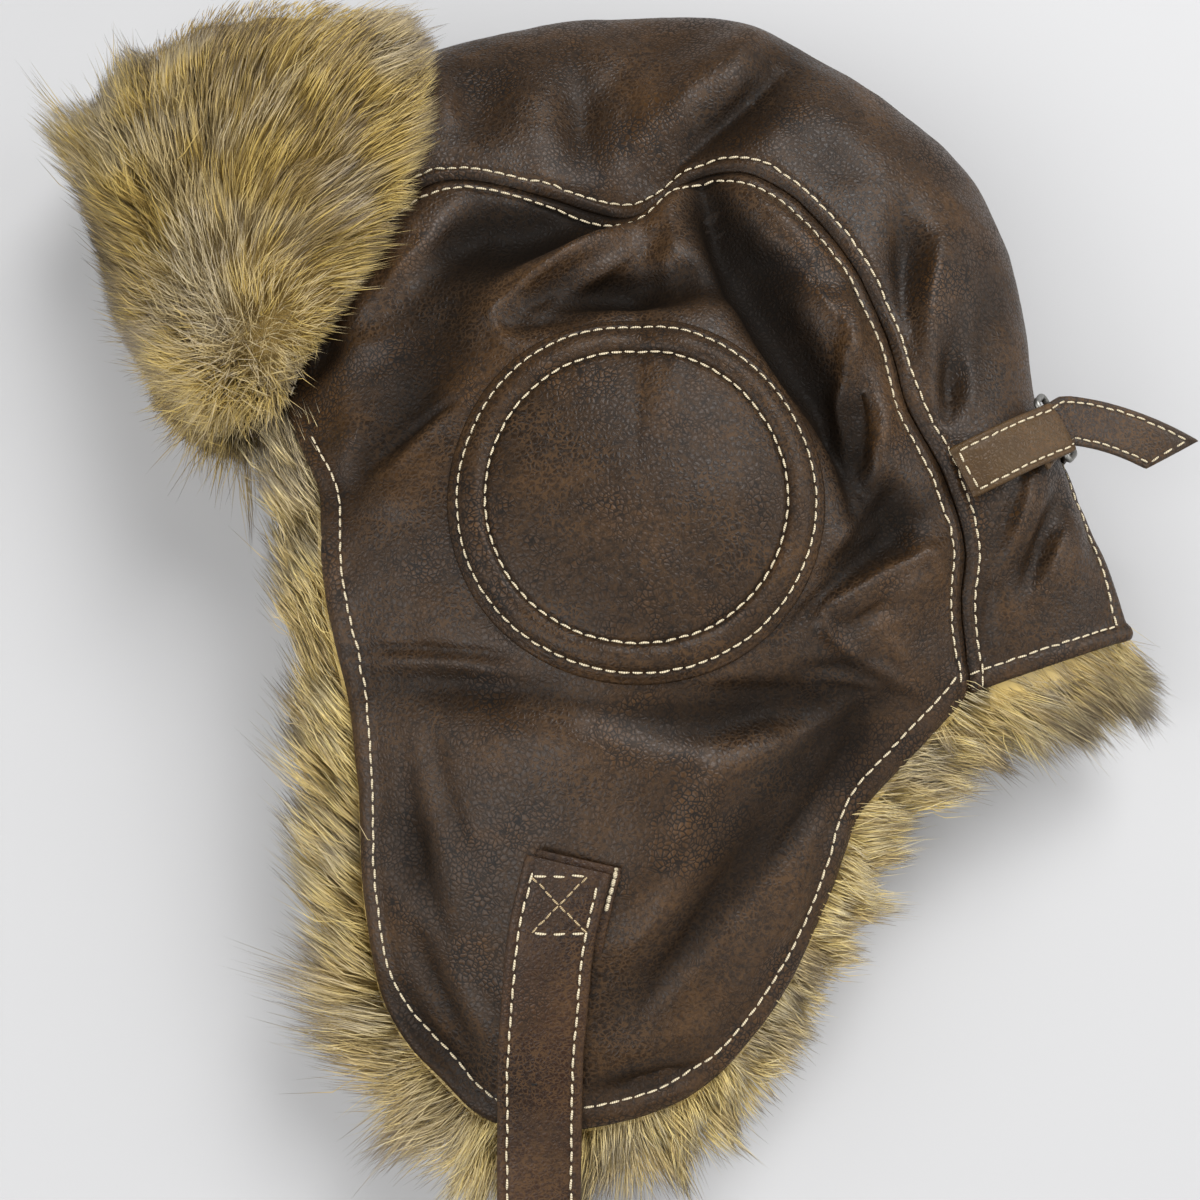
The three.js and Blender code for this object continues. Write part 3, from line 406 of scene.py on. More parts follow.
@dataclass(frozen=True)
class PeakForm:
    """The turned-up peak as points from its sewn hem to its free edge, in millimetres."""

    form: CapForm
    seam_gap: float = 0.4

    sections = Table("along midX midY midZ freeX freeY freeZ pile", [
        (-1, -92, 82, 10, -88, 116, 11, 8),
        (-0.75, -122, 86, 11, -120, 126, 12, 10),
        (-0.4, -150, 90, 20, -150, 134, 24, 13),
        (0, -158, 93, 47, -160, 142, 50, 14),
        (0.4, -128, 92, 84, -124, 145, 84, 14),
        (0.75, -92, 90, 97, -90, 141, 95, 13),
        (1, -66, 80, 99, -68, 134, 91, 12),
    ])

    def hem(self, along: Array) -> Array:
        """Line over the forehead where the peak is sewn on, from its right end, -1, to its left, 1."""
        along = np.asarray(along, float)
        down = 1 - 0.96 * np.minimum(np.abs(along), 1)
        turn = np.full(along.shape, self.form.front_turn)
        rise = self.form.leather + self.seam_gap
        points = {
            side: self.form.crown(side, turn, down)
            + rise * self.form.crown_facing(side, turn, np.minimum(down, 0.98))
            for side in Side
        }
        return np.where((along < 0)[..., None], points[Side.RIGHT], points[Side.LEFT])

    def point(self, along: Array, share: Array) -> Array:
        """Point of the peak's outer face from its hem, share 0, to its free edge, share 1."""
        along, share = np.broadcast_arrays(np.asarray(along, float), np.asarray(share, float))
        middle = np.stack([self.sections.read("mid" + axis, along) for axis in "XYZ"], axis=-1)
        free = np.stack([self.sections.read("free" + axis, along) for axis in "XYZ"], axis=-1)
        t = share[..., None]
        return self.hem(along) * (1 - t) ** 2 + middle * (2 * t * (1 - t)) + free * t**2

    def facing(self, along: Array, share: Array) -> Array:
        """Outward direction of the peak, the side that the fur is on."""
        around = self.point(along + 0.02, share) - self.point(along - 0.02, share)
        outwards = self.point(along, share + 0.02) - self.point(along, share - 0.02)
        return unit(np.cross(around, outwards))

    def pile(self, along: Array, share: Array) -> Array:
        """Depth of the peak's fur, which thins at its borders."""
        rim = np.minimum((1.06 - np.abs(along)) / 0.2, (1.08 - share) / 0.22)
        rim = np.clip(np.minimum(rim, share / 0.16), 0.0, 1.0)
        return self.sections.read("pile", along) * (0.35 + 0.65 * np.sqrt(rim))


class Sheet:
    """An outer face of joined grids that becomes a closed wall with a rounded rim."""

    def __init__(self) -> None:
        """Starts with no grids."""
        self.points: list[Array] = []
        self.outward: list[Array] = []
        self.relief: list[Array] = []
        self.wear: list[Array] = []
        self.groove: list[Array] = []
        self.shapes: list[tuple[int, int]] = []

    def grid(
        self,
        points: Array,
        outward: Array | None = None,
        relief: Array | None = None,
        wear: Array | None = None,
        groove: Array | None = None,
        turned: bool = False,
    ) -> "Sheet":
        """Adds a grid of points; its outside is where column steps turn left of row steps.

        Args:
            points: Rows and columns of points.
            outward: Directions that overrule the surface's own, or zero where they don't.
            relief: Height of the small forms above each point.
            wear: How rubbed the leather is, from 0 to 1.
            groove: How much painted shade the point takes, in a seam, a stitch row or a fold hollow, from 0
                to 1.
            turned: Whether rows and columns change places, which turns the outside round.

        Returns:
            The sheet.
        """
        blank = np.zeros(points.shape[:2])
        layers = [points, np.zeros_like(points) if outward is None else outward]
        layers += [blank if values is None else values for values in (relief, wear, groove)]
        if turned:
            layers = [values.swapaxes(0, 1) for values in layers]
        self.shapes.append(layers[0].shape[:2])
        for store, values in zip((self.points, self.outward, self.relief, self.wear, self.groove), layers):
            store.append(values.reshape(-1, *values.shape[2:]))
        return self

    def indices(self) -> tuple[list[Array], Array]:
        """Joined corner of each grid's points where places are shared, and each corner's first use."""
        places = np.round(np.concatenate(self.points) * 1e3).astype(np.int64)
        _, first, joined = np.unique(places, axis=0, return_index=True, return_inverse=True)
        joined = joined.reshape(-1)
        grids, start = [], 0
        for rows, columns in self.shapes:
            grids.append(joined[start : start + rows * columns].reshape(rows, columns))
            start += rows * columns
        return grids, first

    @staticmethod
    def quads(grids: Sequence[Array], stride: int = 1) -> Array:
        """Faces of the grids, or of every few rows and columns of them."""
        faces = []
        for indices in grids:
            coarse = indices[::stride, ::stride]
            corners = (coarse[:-1, :-1], coarse[1:, :-1], coarse[1:, 1:], coarse[:-1, 1:])
            faces.append(np.stack([corner.reshape(-1) for corner in corners], axis=1))
        return np.concatenate(faces)

    @staticmethod
    def normals(points: Array, quads: Array) -> Array:
        """Outward direction at each corner, weighted by area."""
        area = np.cross(points[quads[:, 2]] - points[quads[:, 0]], points[quads[:, 3]] - points[quads[:, 1]])
        total = np.zeros_like(points)
        for column in range(4):
            np.add.at(total, quads[:, column], area)
        return unit(total)

    @staticmethod
    def border(quads: Array) -> dict[int, int]:
        """Open edges of a set of faces, as each start's next corner."""
        edges = np.concatenate([quads[:, [i, (i + 1) % 4]] for i in range(4)])
        edges = edges[edges[:, 0] != edges[:, 1]]
        size = int(quads.max()) + 1
        forward = edges[:, 0] * size + edges[:, 1]
        backward = edges[:, 1] * size + edges[:, 0]
        lonely = ~np.isin(forward, backward)
        return {int(a): int(b) for a, b in edges[lonely]}

    def wall(self, thickness: float, stride: int = 4, rim_steps: int = 4) -> "Shell":
        """Closes the sheet into a wall whose edge is a half round.

        Args:
            thickness: Distance to the inner face.
            stride: How many rows and columns of the outer face the inner face skips.
            rim_steps: Steps round the edge.

        Returns:
            The closed shell.
        """
        grids, first = self.indices()
        base = np.concatenate(self.points)[first]
        chosen = np.concatenate(self.outward)[first]
        quads = self.quads(grids)
        own = self.normals(base, quads)
        is_chosen = np.linalg.norm(chosen, axis=1, keepdims=True) > 0.5
        base = base + np.where(is_chosen, chosen, own) * np.concatenate(self.relief)[first][:, None]
        outward = np.where(is_chosen, chosen, self.normals(base, quads))
        following = self.border(quads)
        rim_ids = np.array(sorted(following))
        place = {int(corner): i for i, corner in enumerate(rim_ids)}
        after = np.array([following[int(corner)] for corner in rim_ids])
        before = np.empty_like(after)
        before[[place[int(corner)] for corner in after]] = rim_ids
        run = unit(base[after] - base[rim_ids]) + unit(base[rim_ids] - base[before])
        aside = unit(np.cross(run, outward[rim_ids]))
        radius = thickness / 2
        rows = [rim_ids]
        points = [base]
        count = len(base)
        for step in range(1, rim_steps + 1):
            angle = np.pi * step / rim_steps
            drop = outward[rim_ids] * radius * (1 - np.cos(angle))
            points.append(base[rim_ids] - drop + aside * radius * np.sin(angle))
            rows.append(np.arange(count, count + len(rim_ids)))
            count += len(rim_ids)
        next_place = np.array([place[int(corner)] for corner in after])
        faces = [tuple(dict.fromkeys(quad)) for quad in quads.tolist()]
        for low, high in zip(rows, rows[1:]):
            faces += np.stack([low[next_place], low, high, high[next_place]], axis=1).tolist()
        coarse = self.quads(grids, stride)
        used = np.unique(coarse).tolist()
        inner_of = {corner: int(rows[-1][place[corner]]) for corner in used if corner in place}
        inside = np.array([corner for corner in used if corner not in inner_of])
        points.append(base[inside] - outward[inside] * thickness)
        inner_of.update({int(corner): count + i for i, corner in enumerate(inside)})
        for quad in coarse.tolist():
            corners = list(dict.fromkeys(quad))
            if len(corners) > 2:
                faces.append([inner_of[corner] for corner in reversed(corners)])
        for start, end in self.border(coarse).items():
            chain = [start]
            while chain[-1] != end:
                chain.append(following[chain[-1]])
            if len(chain) > 2:
                rim = [int(rows[-1][place[corner]]) for corner in chain[-2:0:-1]]
                faces.append([inner_of[start], inner_of[end]] + rim)
        faces = [face for face in faces if len(face) > 2]
        source = np.concatenate([np.arange(len(base))] + [rim_ids] * rim_steps + [inside])
        wear = np.concatenate(self.wear)[first][source]
        groove = np.concatenate(self.groove)[first][source]
        return Shell(np.concatenate(points), faces, {"wear": wear, "groove": groove})


@dataclass
class Shell:
    """Corners in millimetres, faces, and values that belong to the corners."""

    points: Array
    faces: list[Sequence[int]]
    values: dict[str, Array] = field(default_factory=dict)
    uv: Array | None = None

    def tree(self) -> BVHTree:
        """Search tree that finds the nearest place on the faces."""
        return BVHTree.FromPolygons(self.points.tolist(), self.faces)

    def piece(self, name: str, smooth_angle: float | None = None) -> bpy.types.Object:
        """Makes the smooth object, in metres; edges sharper than an angle in degrees stay crisp."""
        mesh = bpy.data.meshes.new(name)
        mesh.from_pydata((self.points * MM).tolist(), [], self.faces)
        for key, values in self.values.items():
            attribute = mesh.attributes.new(key, "FLOAT", "POINT")
            attribute.data.foreach_set("value", values.astype(np.float32))
        if self.uv is not None:
            layer = mesh.uv_layers.new(name="UVMap")
            corners = np.empty(len(mesh.loops), np.int32)
            mesh.loops.foreach_get("vertex_index", corners)
            layer.data.foreach_set("uv", self.uv[corners].astype(np.float32).reshape(-1))
        mesh.validate()
        mesh.shade_smooth()
        made = bpy.data.objects.new(name, mesh)
        bpy.context.scene.collection.objects.link(made)
        if smooth_angle is not None:
            select_only(made)
            bpy.ops.object.shade_smooth_by_angle(angle=math.radians(smooth_angle))
        triangles = sum(len(polygon.vertices) - 2 for polygon in mesh.polygons)
        log.info("%s: %d triangles", name, triangles)
        return made

    def dress(
        self, name: str, material: Material, slot: str, node: str = "", smooth_angle: float | None = None
    ) -> bpy.types.Object:
        """Makes the piece with its finish, body and node."""
        piece = self.piece(name, smooth_angle)
        dress(piece, material, node)
        return piece


def select_only(piece: bpy.types.Object) -> None:
    """Selects one object and makes it the active one."""
    bpy.ops.object.select_all(action="DESELECT")
    piece.select_set(True)
    bpy.context.view_layer.objects.active = piece


def primitive(name: str, operator: Callable[..., Any], **settings: Any) -> bpy.types.Object:
    """Adds a basic shape as the only selected object."""
    bpy.ops.object.select_all(action="DESELECT")
    operator(**settings)
    made = bpy.context.object
    made.name = name
    return made


def dress(piece: bpy.types.Object, material: Material, node: str = "") -> None:
    """Gives a piece its finish and its body, and hides the node that it stands for."""
    piece.data.materials.clear()
    piece.data.materials.append(material)
    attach(piece, "root")
    if node:
        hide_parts(node)


class Value:
    """A shader socket that takes part in Python arithmetic."""

    def __init__(self, shader: "Shader", socket: bpy.types.NodeSocket) -> None:
        """Keeps the socket and the shader that it belongs to."""
        self.shader = shader
        self.socket = socket

    def _math(self, operation: str, *terms: Any) -> "Value":
        """Adds a Math node for an operation on sockets and numbers."""
        node = self.shader.node("ShaderNodeMath", {"operation": operation}, dict(enumerate(terms)))
        return node["Value"]

    def __add__(self, other: Any) -> "Value":
        """Sum."""
        return self._math("ADD", self, other)

    __radd__ = __add__

    def __sub__(self, other: Any) -> "Value":
        """Difference."""
        return self._math("SUBTRACT", self, other)

    def __rsub__(self, other: Any) -> "Value":
        """Difference from a number."""
        return self._math("SUBTRACT", other, self)

    def __mul__(self, other: Any) -> "Value":
        """Product."""
        return self._math("MULTIPLY", self, other)

    __rmul__ = __mul__

    def clamp(self) -> "Value":
        """Value held between 0 and 1."""
        return self.shader.node("ShaderNodeClamp", {}, {"Value": self})["Result"]

    def step(self, low: float, high: float) -> "Value":
        """Eased share of the way from low to high."""
        sockets = {"Value": self, "From Min": low, "From Max": high}
        settings = {"interpolation_type": "SMOOTHSTEP"}
        return self.shader.node("ShaderNodeMapRange", settings, sockets)["Result"]


class Outputs:
    """The output sockets of a node, by name."""

    def __init__(self, shader: "Shader", node: bpy.types.Node) -> None:
        """Keeps the node and the shader that it belongs to."""
        self.shader = shader
        self.node = node

    def __getitem__(self, name: str) -> Value:
        """Output of that name that is in use for the node's settings."""
        for socket in self.node.outputs:
            if socket.name == name and socket.enabled:
                return Value(self.shader, socket)
        raise KeyError(name)


def linear(code: str) -> tuple[float, float, float, float]:
    """Scene colour of a hex code as it looks on a screen."""
    parts = [int(code[i : i + 2], 16) / 255 for i in (1, 3, 5)]
    red, green, blue = (p / 12.92 if p <= 0.04045 else ((p + 0.055) / 1.055) ** 2.4 for p in parts)
    return (red, green, blue, 1.0)


class Shader:
    """A material whose nodes are written as expressions."""

    def __init__(self, name: str) -> None:
        """Makes the material with only its surface shader."""
        self.material = bpy.data.materials.new(name)
        self.material.use_nodes = True
        self.nodes = self.material.node_tree.nodes
        self.links = self.material.node_tree.links
        self.surface = self.nodes["Principled BSDF"]

    def node(self, kind: str, settings: dict[str, Any], sockets: dict[Any, Any]) -> Outputs:
        """Adds a node.

        Args:
            kind: The node's type.
            settings: Its properties, set before its sockets; stops is a ramp's positions and colours.
            sockets: Values or links of its inputs, by name or number.

        Returns:
            The node's outputs.
        """
        node = self.nodes.new(kind)
        for key, setting in settings.items():
            if key == "stops":
                self._stops(node.color_ramp, setting)
            else:
                setattr(node, key, setting)
        for key, value in sockets.items():
            self._plug(self._input(node, key), value)
        return Outputs(self, node)

    @staticmethod
    def _input(node: bpy.types.Node, key: Any) -> bpy.types.NodeSocket:
        """Input of a name that is in use for the node's settings, or of a number."""
        if isinstance(key, int):
            return node.inputs[key]
        return next(socket for socket in node.inputs if socket.name == key and socket.enabled)

    @staticmethod
    def _stops(ramp: bpy.types.ColorRamp, stops: Sequence[tuple[float, Any]]) -> None:
        """Writes a ramp's stops."""
        while len(ramp.elements) < len(stops):
            ramp.elements.new(1.0)
        for element, (position, colour) in zip(ramp.elements, stops):
            element.position = position
            element.color = colour

    def _plug(self, socket: bpy.types.NodeSocket, value: Any) -> None:
        """Links a value to an input, or sets the input to a number or colour."""
        if isinstance(value, Value):
            self.links.new(value.socket, socket)
        else:
            socket.default_value = value

    def set(self, **inputs: Any) -> None:
        """Sets inputs of the surface shader, with _ in their names for a space."""
        for key, value in inputs.items():
            self._plug(self.surface.inputs[key.replace("_", " ")], value)

    def dull(self, share: Value, **inputs: Any) -> None:
        """Mixes the surface with a matt one, which has the given inputs, by a share."""
        matt = self.nodes.new("ShaderNodeBsdfPrincipled")
        for key, value in inputs.items():
            self._plug(matt.inputs[key.replace("_", " ")], value)
        mixed = self.nodes.new("ShaderNodeMixShader")
        self._plug(mixed.inputs[0], share)
        self.links.new(self.surface.outputs[0], mixed.inputs[1])
        self.links.new(matt.outputs[0], mixed.inputs[2])
        self.links.new(mixed.outputs[0], self.nodes["Material Output"].inputs["Surface"])

    def place(self) -> Value:
        """Place on the object, in metres."""
        return self.node("ShaderNodeTexCoord", {}, {})["Object"]

    def noise(self, place: Value, size: float, detail: float = 3.0, rough: float = 0.55) -> Value:
        """Noise whose features are a size in millimetres."""
        sockets = {"Vector": place, "Scale": 1 / (size * MM), "Detail": detail, "Roughness": rough}
        return self.node("ShaderNodeTexNoise", {}, sockets)["Fac"]

    def cells(self, place: Value, size: float, feature: str) -> Value:
        """Distance in a pattern of cells of a size in millimetres."""
        sockets = {"Vector": place, "Scale": 1 / (size * MM)}
        return self.node("ShaderNodeTexVoronoi", {"feature": feature}, sockets)["Distance"]

    def attribute(self, name: str) -> Value:
        """Value that the mesh holds at its corners."""
        return self.node("ShaderNodeAttribute", {"attribute_name": name}, {})["Fac"]

    def mix(self, share: Any, first: Any, second: Any) -> Value:
        """Mix of two colours."""
        node = self.nodes.new("ShaderNodeMix")
        node.data_type = "RGBA"
        for index, value in ((0, share), (6, first), (7, second)):
            self._plug(node.inputs[index], value)
        return Value(self, node.outputs[2])

    def vector(self, operation: str, sockets: dict[Any, Any]) -> Value:
        """Result of an operation on vectors."""
        return self.node("ShaderNodeVectorMath", {"operation": operation}, sockets)["Vector"]

    def warp(self, place: Value, size: float, reach: float) -> Value:
        """Place pushed about by noise, a reach in millimetres at most."""
        sockets = {"Vector": place, "Scale": 1 / (size * MM), "Detail": 2.0}
        shift = self.node("ShaderNodeTexNoise", {}, sockets)["Color"]
        centred = self.vector("SUBTRACT", {0: shift, 1: (0.5, 0.5, 0.5)})
        return self.vector("ADD", {0: place, 1: self.vector("SCALE", {0: centred, "Scale": reach * MM})})

    def bump(self, height: Value, depth: float, below: Value | None = None) -> Value:
        """Direction of a surface that a height pattern raises by a depth in millimetres."""
        sockets: dict[Any, Any] = {"Height": height, "Distance": depth * MM, "Strength": 1.0}
        if below is not None:
            sockets["Normal"] = below
        return self.node("ShaderNodeBump", {}, sockets)["Normal"]


@dataclass(frozen=True)
class LeatherFinish:
    """Distressed leather: blotched browns, pebbled grain with rubbed or dark lines, soft gloss, painted
    shade in hollows.
    """

    name: str
    dark: str = "#1b120a"
    base: str = "#291c10"
    rubbed: str = "#5c4022"
    line: str = "#684b2c"
    # hollow: near-black brown of the grain's dark cracks, and of the painted shade in grooves and fold
    # hollows
    hollow: str = "#0c0805"
    grain: float = 1.45
    cracks: float = 1.0
    shine: float = 1.0
    gloss: float = 0.36

    def material(self) -> Material:
        """The finish as a material."""
        shader = Shader(self.name)
        place = shader.place()
        wear = shader.attribute("wear")
        # groove shade: how much painted shade each corner takes in seams, stitch rows and fold hollows
        groove = shader.attribute("groove")
        broad = shader.noise(place, 46.0, 2.0, 0.5)
        rust = shader.noise(shader.warp(place, 24.0, 14.0), 21.0, 4.0, 0.6)
        worn = shader.noise(shader.warp(place, 12.0, 8.0), 27.0, 5.0, 0.65).step(0.42, 0.66)
        speckle = shader.noise(place, 1.5, 3.0, 0.65)
        warped = shader.warp(shader.warp(place, 7.0, 3.0), 1.5, 0.6)
        crackle = shader.cells(warped, self.grain, "DISTANCE_TO_EDGE")
        small = shader.cells(warped, self.grain * 0.5, "DISTANCE_TO_EDGE")
        colour = shader.mix(broad.step(0.3, 0.65), linear(self.dark), linear(self.base))
        mottle = 0.5 + 0.8 * speckle.step(0.32, 0.68)
        rusted = ((rust.step(0.45, 0.8) * 0.5 + worn * 0.35 + wear * 0.3) * mottle).clamp()
        colour = shader.mix(rusted * 0.75, colour, linear(self.rubbed))
        lines = 1 - crackle.step(0.03, 0.19)
        pale_lines = lines * speckle.step(0.34, 0.58) * (1 - worn) * 0.55
        dark_lines = lines * (0.4 + 0.55 * worn) * self.cracks
        colour = shader.mix(pale_lines, colour, linear(self.line))
        colour = shader.mix(dark_lines, colour, linear(self.hollow))
        # painted shade: seams, stitch rows and fold hollows darken towards the near-black hollow colour
        colour = shader.mix((groove * 0.95).clamp(), colour, linear(self.hollow))
        roughness = self.gloss + 0.2 * (rust - 0.5) + 0.1 * (speckle - 0.5) + 0.35 * lines
        relief = crackle.step(0.0, 0.4) + small.step(0.0, 0.4) * 0.2 + speckle * 0.12
        normal = shader.bump(relief, 0.11)
        polish = (1 - rusted * 0.4).clamp() * (0.14 * self.shine)
        shader.set(Base_Color=colour, Roughness=roughness.clamp(), Normal=normal, IOR=1.5)
        shader.set(Specular_IOR_Level=0.2 * self.shine, Coat_Weight=polish, Coat_Roughness=0.38)
        # painted shade: the same places also turn matt and lose their reflections
        shader.dull(groove * 0.92, Base_Color=colour, Normal=normal, Roughness=0.75, Specular_IOR_Level=0.06)
        return shader.material


@dataclass(frozen=True)
class FurFinish:
    """Deep fur: golden shafts with grey-brown and near-black tips, varied from tuft to tuft, darker at the
    root as painted shade of the deep pile.
    """

    name: str
    # root: darker colour at the roots and of the undercoat, painted shade of the deep pile
    root: str = "#715d30"
    golden: tuple[str, ...] = ("#a08546", "#bda35b", "#cab47b", "#96835a")
    guard: tuple[str, ...] = ("#a68d55", "#9a865d", "#786951", "#332a29")
    grey: tuple[str, ...] = ("#a09170", "#bfb192", "#b0a596", "#756a63")

    def ramp(self, shader: Shader, along: Value, colours: Sequence[str], places: Sequence[float]) -> Value:
        """Colour along a shaft, from the root's painted shade through four colours."""
        stops = [(0.0, linear(self.root))] + [(place, linear(code)) for place, code in zip(places, colours)]
        return shader.node("ShaderNodeValToRGB", {"stops": stops}, {"Fac": along})["Color"]

    def material(self) -> Material:
        """The finish as a material that reads u, a tuft's own number, and v, from root to tip."""
        shader = Shader(self.name)
        uv = shader.node("ShaderNodeUVMap", {"uv_map": "UVMap"}, {})["UV"]
        parts = shader.node("ShaderNodeSeparateXYZ", {}, {"Vector": uv})
        tuft, along = parts["X"], parts["Y"]
        patches = shader.noise(shader.place(), 26.0, 2.0, 0.5)
        golden = self.ramp(shader, along, self.golden, (0.22, 0.5, 0.78, 1.0))
        guard = self.ramp(shader, along, self.guard, (0.25, 0.5, 0.74, 0.97))
        grey = self.ramp(shader, along, self.grey, (0.22, 0.5, 0.78, 1.0))
        colour = shader.mix(tuft.step(0.54, 0.64), golden, guard)
        greyish = (patches.step(0.48, 0.64) * 0.7 + 0.6 * (1 - tuft.step(0.12, 0.24))).clamp()
        colour = shader.mix(greyish * 0.8, colour, grey)
        shader.set(Base_Color=colour, Roughness=0.6, Specular_IOR_Level=0.25)
        return shader.material


@dataclass(frozen=True)
class ThreadFinish:
    """Twisted cream sewing thread, with painted shade between its plies and darker dirt."""

    name: str
    colour: str = "#dccfb2"
    # shade_and_dirt: colour of the painted shade between the plies and of the dirt
    shade_and_dirt: str = "#a08f6f"

    def material(self) -> Material:
        """The finish as a material that reads u along a stitch and v round it."""
        shader = Shader(self.name)
        uv = shader.node("ShaderNodeUVMap", {"uv_map": "UVMap"}, {})["UV"]
        parts = shader.node("ShaderNodeSeparateXYZ", {}, {"Vector": uv})
        twist = (parts["X"] * 5.0 + parts["Y"]) * 6.2832
        ply = shader.node("ShaderNodeMath", {"operation": "SINE"}, {0: twist})["Value"] * 0.5 + 0.5
        dirt = shader.noise(shader.place(), 5.0, 2.0, 0.5)
        # painted shade: the thread darkens in the troughs between its plies
        colour = shader.mix(ply.step(0.0, 0.55), linear(self.shade_and_dirt), linear(self.colour))
        colour = shader.mix(dirt.step(0.5, 0.8) * 0.4, colour, linear(self.shade_and_dirt))
        shader.set(Base_Color=colour, Roughness=0.75, Normal=shader.bump(ply, 0.12))
        return shader.material


@dataclass(frozen=True)
class MetalFinish:
    """Grey metal with a dull, faintly scratched surface."""

    name: str
    colour: str = "#8d8c88"
    tarnish: str = "#4d4a45"

    def material(self) -> Material:
        """The finish as a material."""
        shader = Shader(self.name)
        place = shader.place()
        cloud = shader.noise(place, 5.0, 3.0, 0.6)
        scratch = shader.noise(place, 0.5, 3.0, 0.6)
        colour = shader.mix(cloud.step(0.45, 0.75) * 0.7, linear(self.colour), linear(self.tarnish))
        shader.set(Base_Color=colour, Metallic=1.0, Roughness=(0.28 + 0.25 * cloud + 0.1 * scratch).clamp())
        shader.set(Normal=shader.bump(scratch, 0.02))
        return shader.material


@dataclass(frozen=True)
class PlainFinish:
    """One matt colour."""

    name: str
    colour: str

    def material(self) -> Material:
        """The finish as a material."""
        shader = Shader(self.name)
        shader.set(Base_Color=linear(self.colour), Roughness=0.85, Specular_IOR_Level=0.2)
        return shader.material


class Finishes:
    """Every finish of the cap, made once."""

    def __init__(self) -> None:
        """Makes the materials."""
        leathers = {
            "crown": LeatherFinish("crown_leather"),
            "patch": LeatherFinish("patch_leather", "#19110a", "#251a10", "#5b4127", shine=0.75),
            "strap": LeatherFinish("strap_leather", "#20150e", "#362317", "#583f27", grain=1.2, cracks=0.7),
            "olive": LeatherFinish(
                "olive_strap_leather", "#3d2b17", "#554222", "#4e381c", grain=1.2, cracks=0.25
            ),
            "grey": LeatherFinish(
                "grey_strap_leather", "#241b15", "#342920", "#493b2e", grain=1.2, cracks=0.4
            ),
            # painted shade: near-black leather for the disc that stands in for the shade inside the strap's
            # hole
            "hole": LeatherFinish("hole_painted_shade", "#040302", "#070504", "#0b0805", "#0a0806", "#020101"),
        }
        self.leather = {name: finish.material() for name, finish in leathers.items()}
        self.fur = FurFinish("fur").material()
        # painted light: the fringe finish is a lighter copy of the fur, partly the fringe's paler tone and
        # partly making up for the shade that the flaps and nape cast on it
        fringe_golden_painted_light = ("#c6ac6b", "#dac584", "#e8d9b0", "#b5a27c")
        fringe_guard_painted_light = ("#cbb47a", "#c0ab7c", "#978669", "#4d4139")
        self.fringe = FurFinish("fringe_fur_painted_light", "#a8925d", fringe_golden_painted_light, fringe_guard_painted_light).material()
        self.thread = ThreadFinish("cream_thread").material()
        self.dark_thread = ThreadFinish("brown_thread", "#c2ac85", "#6b563c").material()
        self.metal = MetalFinish("steel").material()
        self.floor = PlainFinish("pale_floor", "#b4b4b5").material()


@dataclass(frozen=True)
class Stitcher:
    """Sews rows of thread stitches onto a surface."""

    pitch: float = 3.6
    length: float = 3.0
    radius: float = 0.34
    sides: int = 5
    lift: float = 0.12
    wobble: float = 0.18
    seed: int = 5

    def grain(self) -> tuple[Array, Array, list[list[int]]]:
        """One stitch along X: its corners, their values along and round it, and its faces."""
        half = [(0.0, 1.0, 0.25), (0.36, 0.85, -0.05), (0.5, 0.25, -0.5)]
        stations = [(-along, girth, rise) for along, girth, rise in half[:0:-1]] + half
        points, uv, faces = [], [], []
        for along, girth, rise in stations:
            for i in range(self.sides):
                angle = 2 * math.pi * i / self.sides
                points.append((along, girth * math.cos(angle), girth * math.sin(angle) + rise))
                uv.append((along, i / self.sides))
        for row in range(len(stations) - 1):
            for i in range(self.sides):
                a, b = row * self.sides + i, row * self.sides + (i + 1) % self.sides
                faces.append([a, a + self.sides, b + self.sides, b])
        last = (len(stations) - 1) * self.sides
        faces.append(list(range(self.sides)))
        faces.append([last + i for i in reversed(range(self.sides))])
        return np.array(points), np.array(uv), faces

    def rows(self, paths: Sequence[Array], tree: BVHTree) -> Shell:
        """Stitches along paths that lie near a surface.

        Args:
            paths: The points of each row.
            tree: Search tree of the surface, in millimetres.

        Returns:
            All the stitches as one shell.
        """
        random = np.random.default_rng(self.seed)
        grain, grain_uv, grain_faces = self.grain()
        points, faces = [], []
        for path in paths:
            run = path_run(path)
            count = max(int(run[-1] / self.pitch), 1)
            for i in range(count):
                middle = (i + 0.5) * run[-1] / count
                half = self.length * random.uniform(0.46, 0.53)
                ends = []
                for at in (middle - half, middle + half):
                    probe = Vector([np.interp(at, run, path[:, axis]) for axis in range(3)])
                    ends.append(tree.find_nearest(probe))
                (first, normal_a, _, _), (second, normal_b, _, _) = ends
                facing = (normal_a + normal_b).normalized()
                along = second - first
                size = along.length
                across = facing.cross(along).normalized()
                along = (along.normalized() + across * random.normal(0, 0.05)).normalized()
                across = facing.cross(along).normalized()
                facing = along.cross(across)
                aside = random.normal(0, self.wobble / 2)
                centre = (first + second) / 2 + facing * self.lift + across * aside
                basis = np.array([along * size, across * self.radius, facing * self.radius])
                faces += [[corner + len(points) * len(grain) for corner in face] for face in grain_faces]
                points.append(grain @ basis + np.array(centre))
        return Shell(np.concatenate(points), faces, {}, np.tile(grain_uv, (len(points), 1)))

    def sew(self, paths: Sequence[Array], cloth: Shell, name: str, thread: Material, slot: str) -> None:
        """Sews rows of stitches onto a shell, as one piece."""
        self.rows(paths, cloth.tree()).dress(name, thread, slot)


def whole(values: Array, stride: int = 4) -> Array:
    """Rows cut so that every few of them, from the first one, end on the last."""
    return values[: len(values) - (len(values) - 1) % stride]


@dataclass
class Part:
    """One sub-assembly, on the cap's form and with its finishes."""

    form: CapForm
    finishes: Finishes


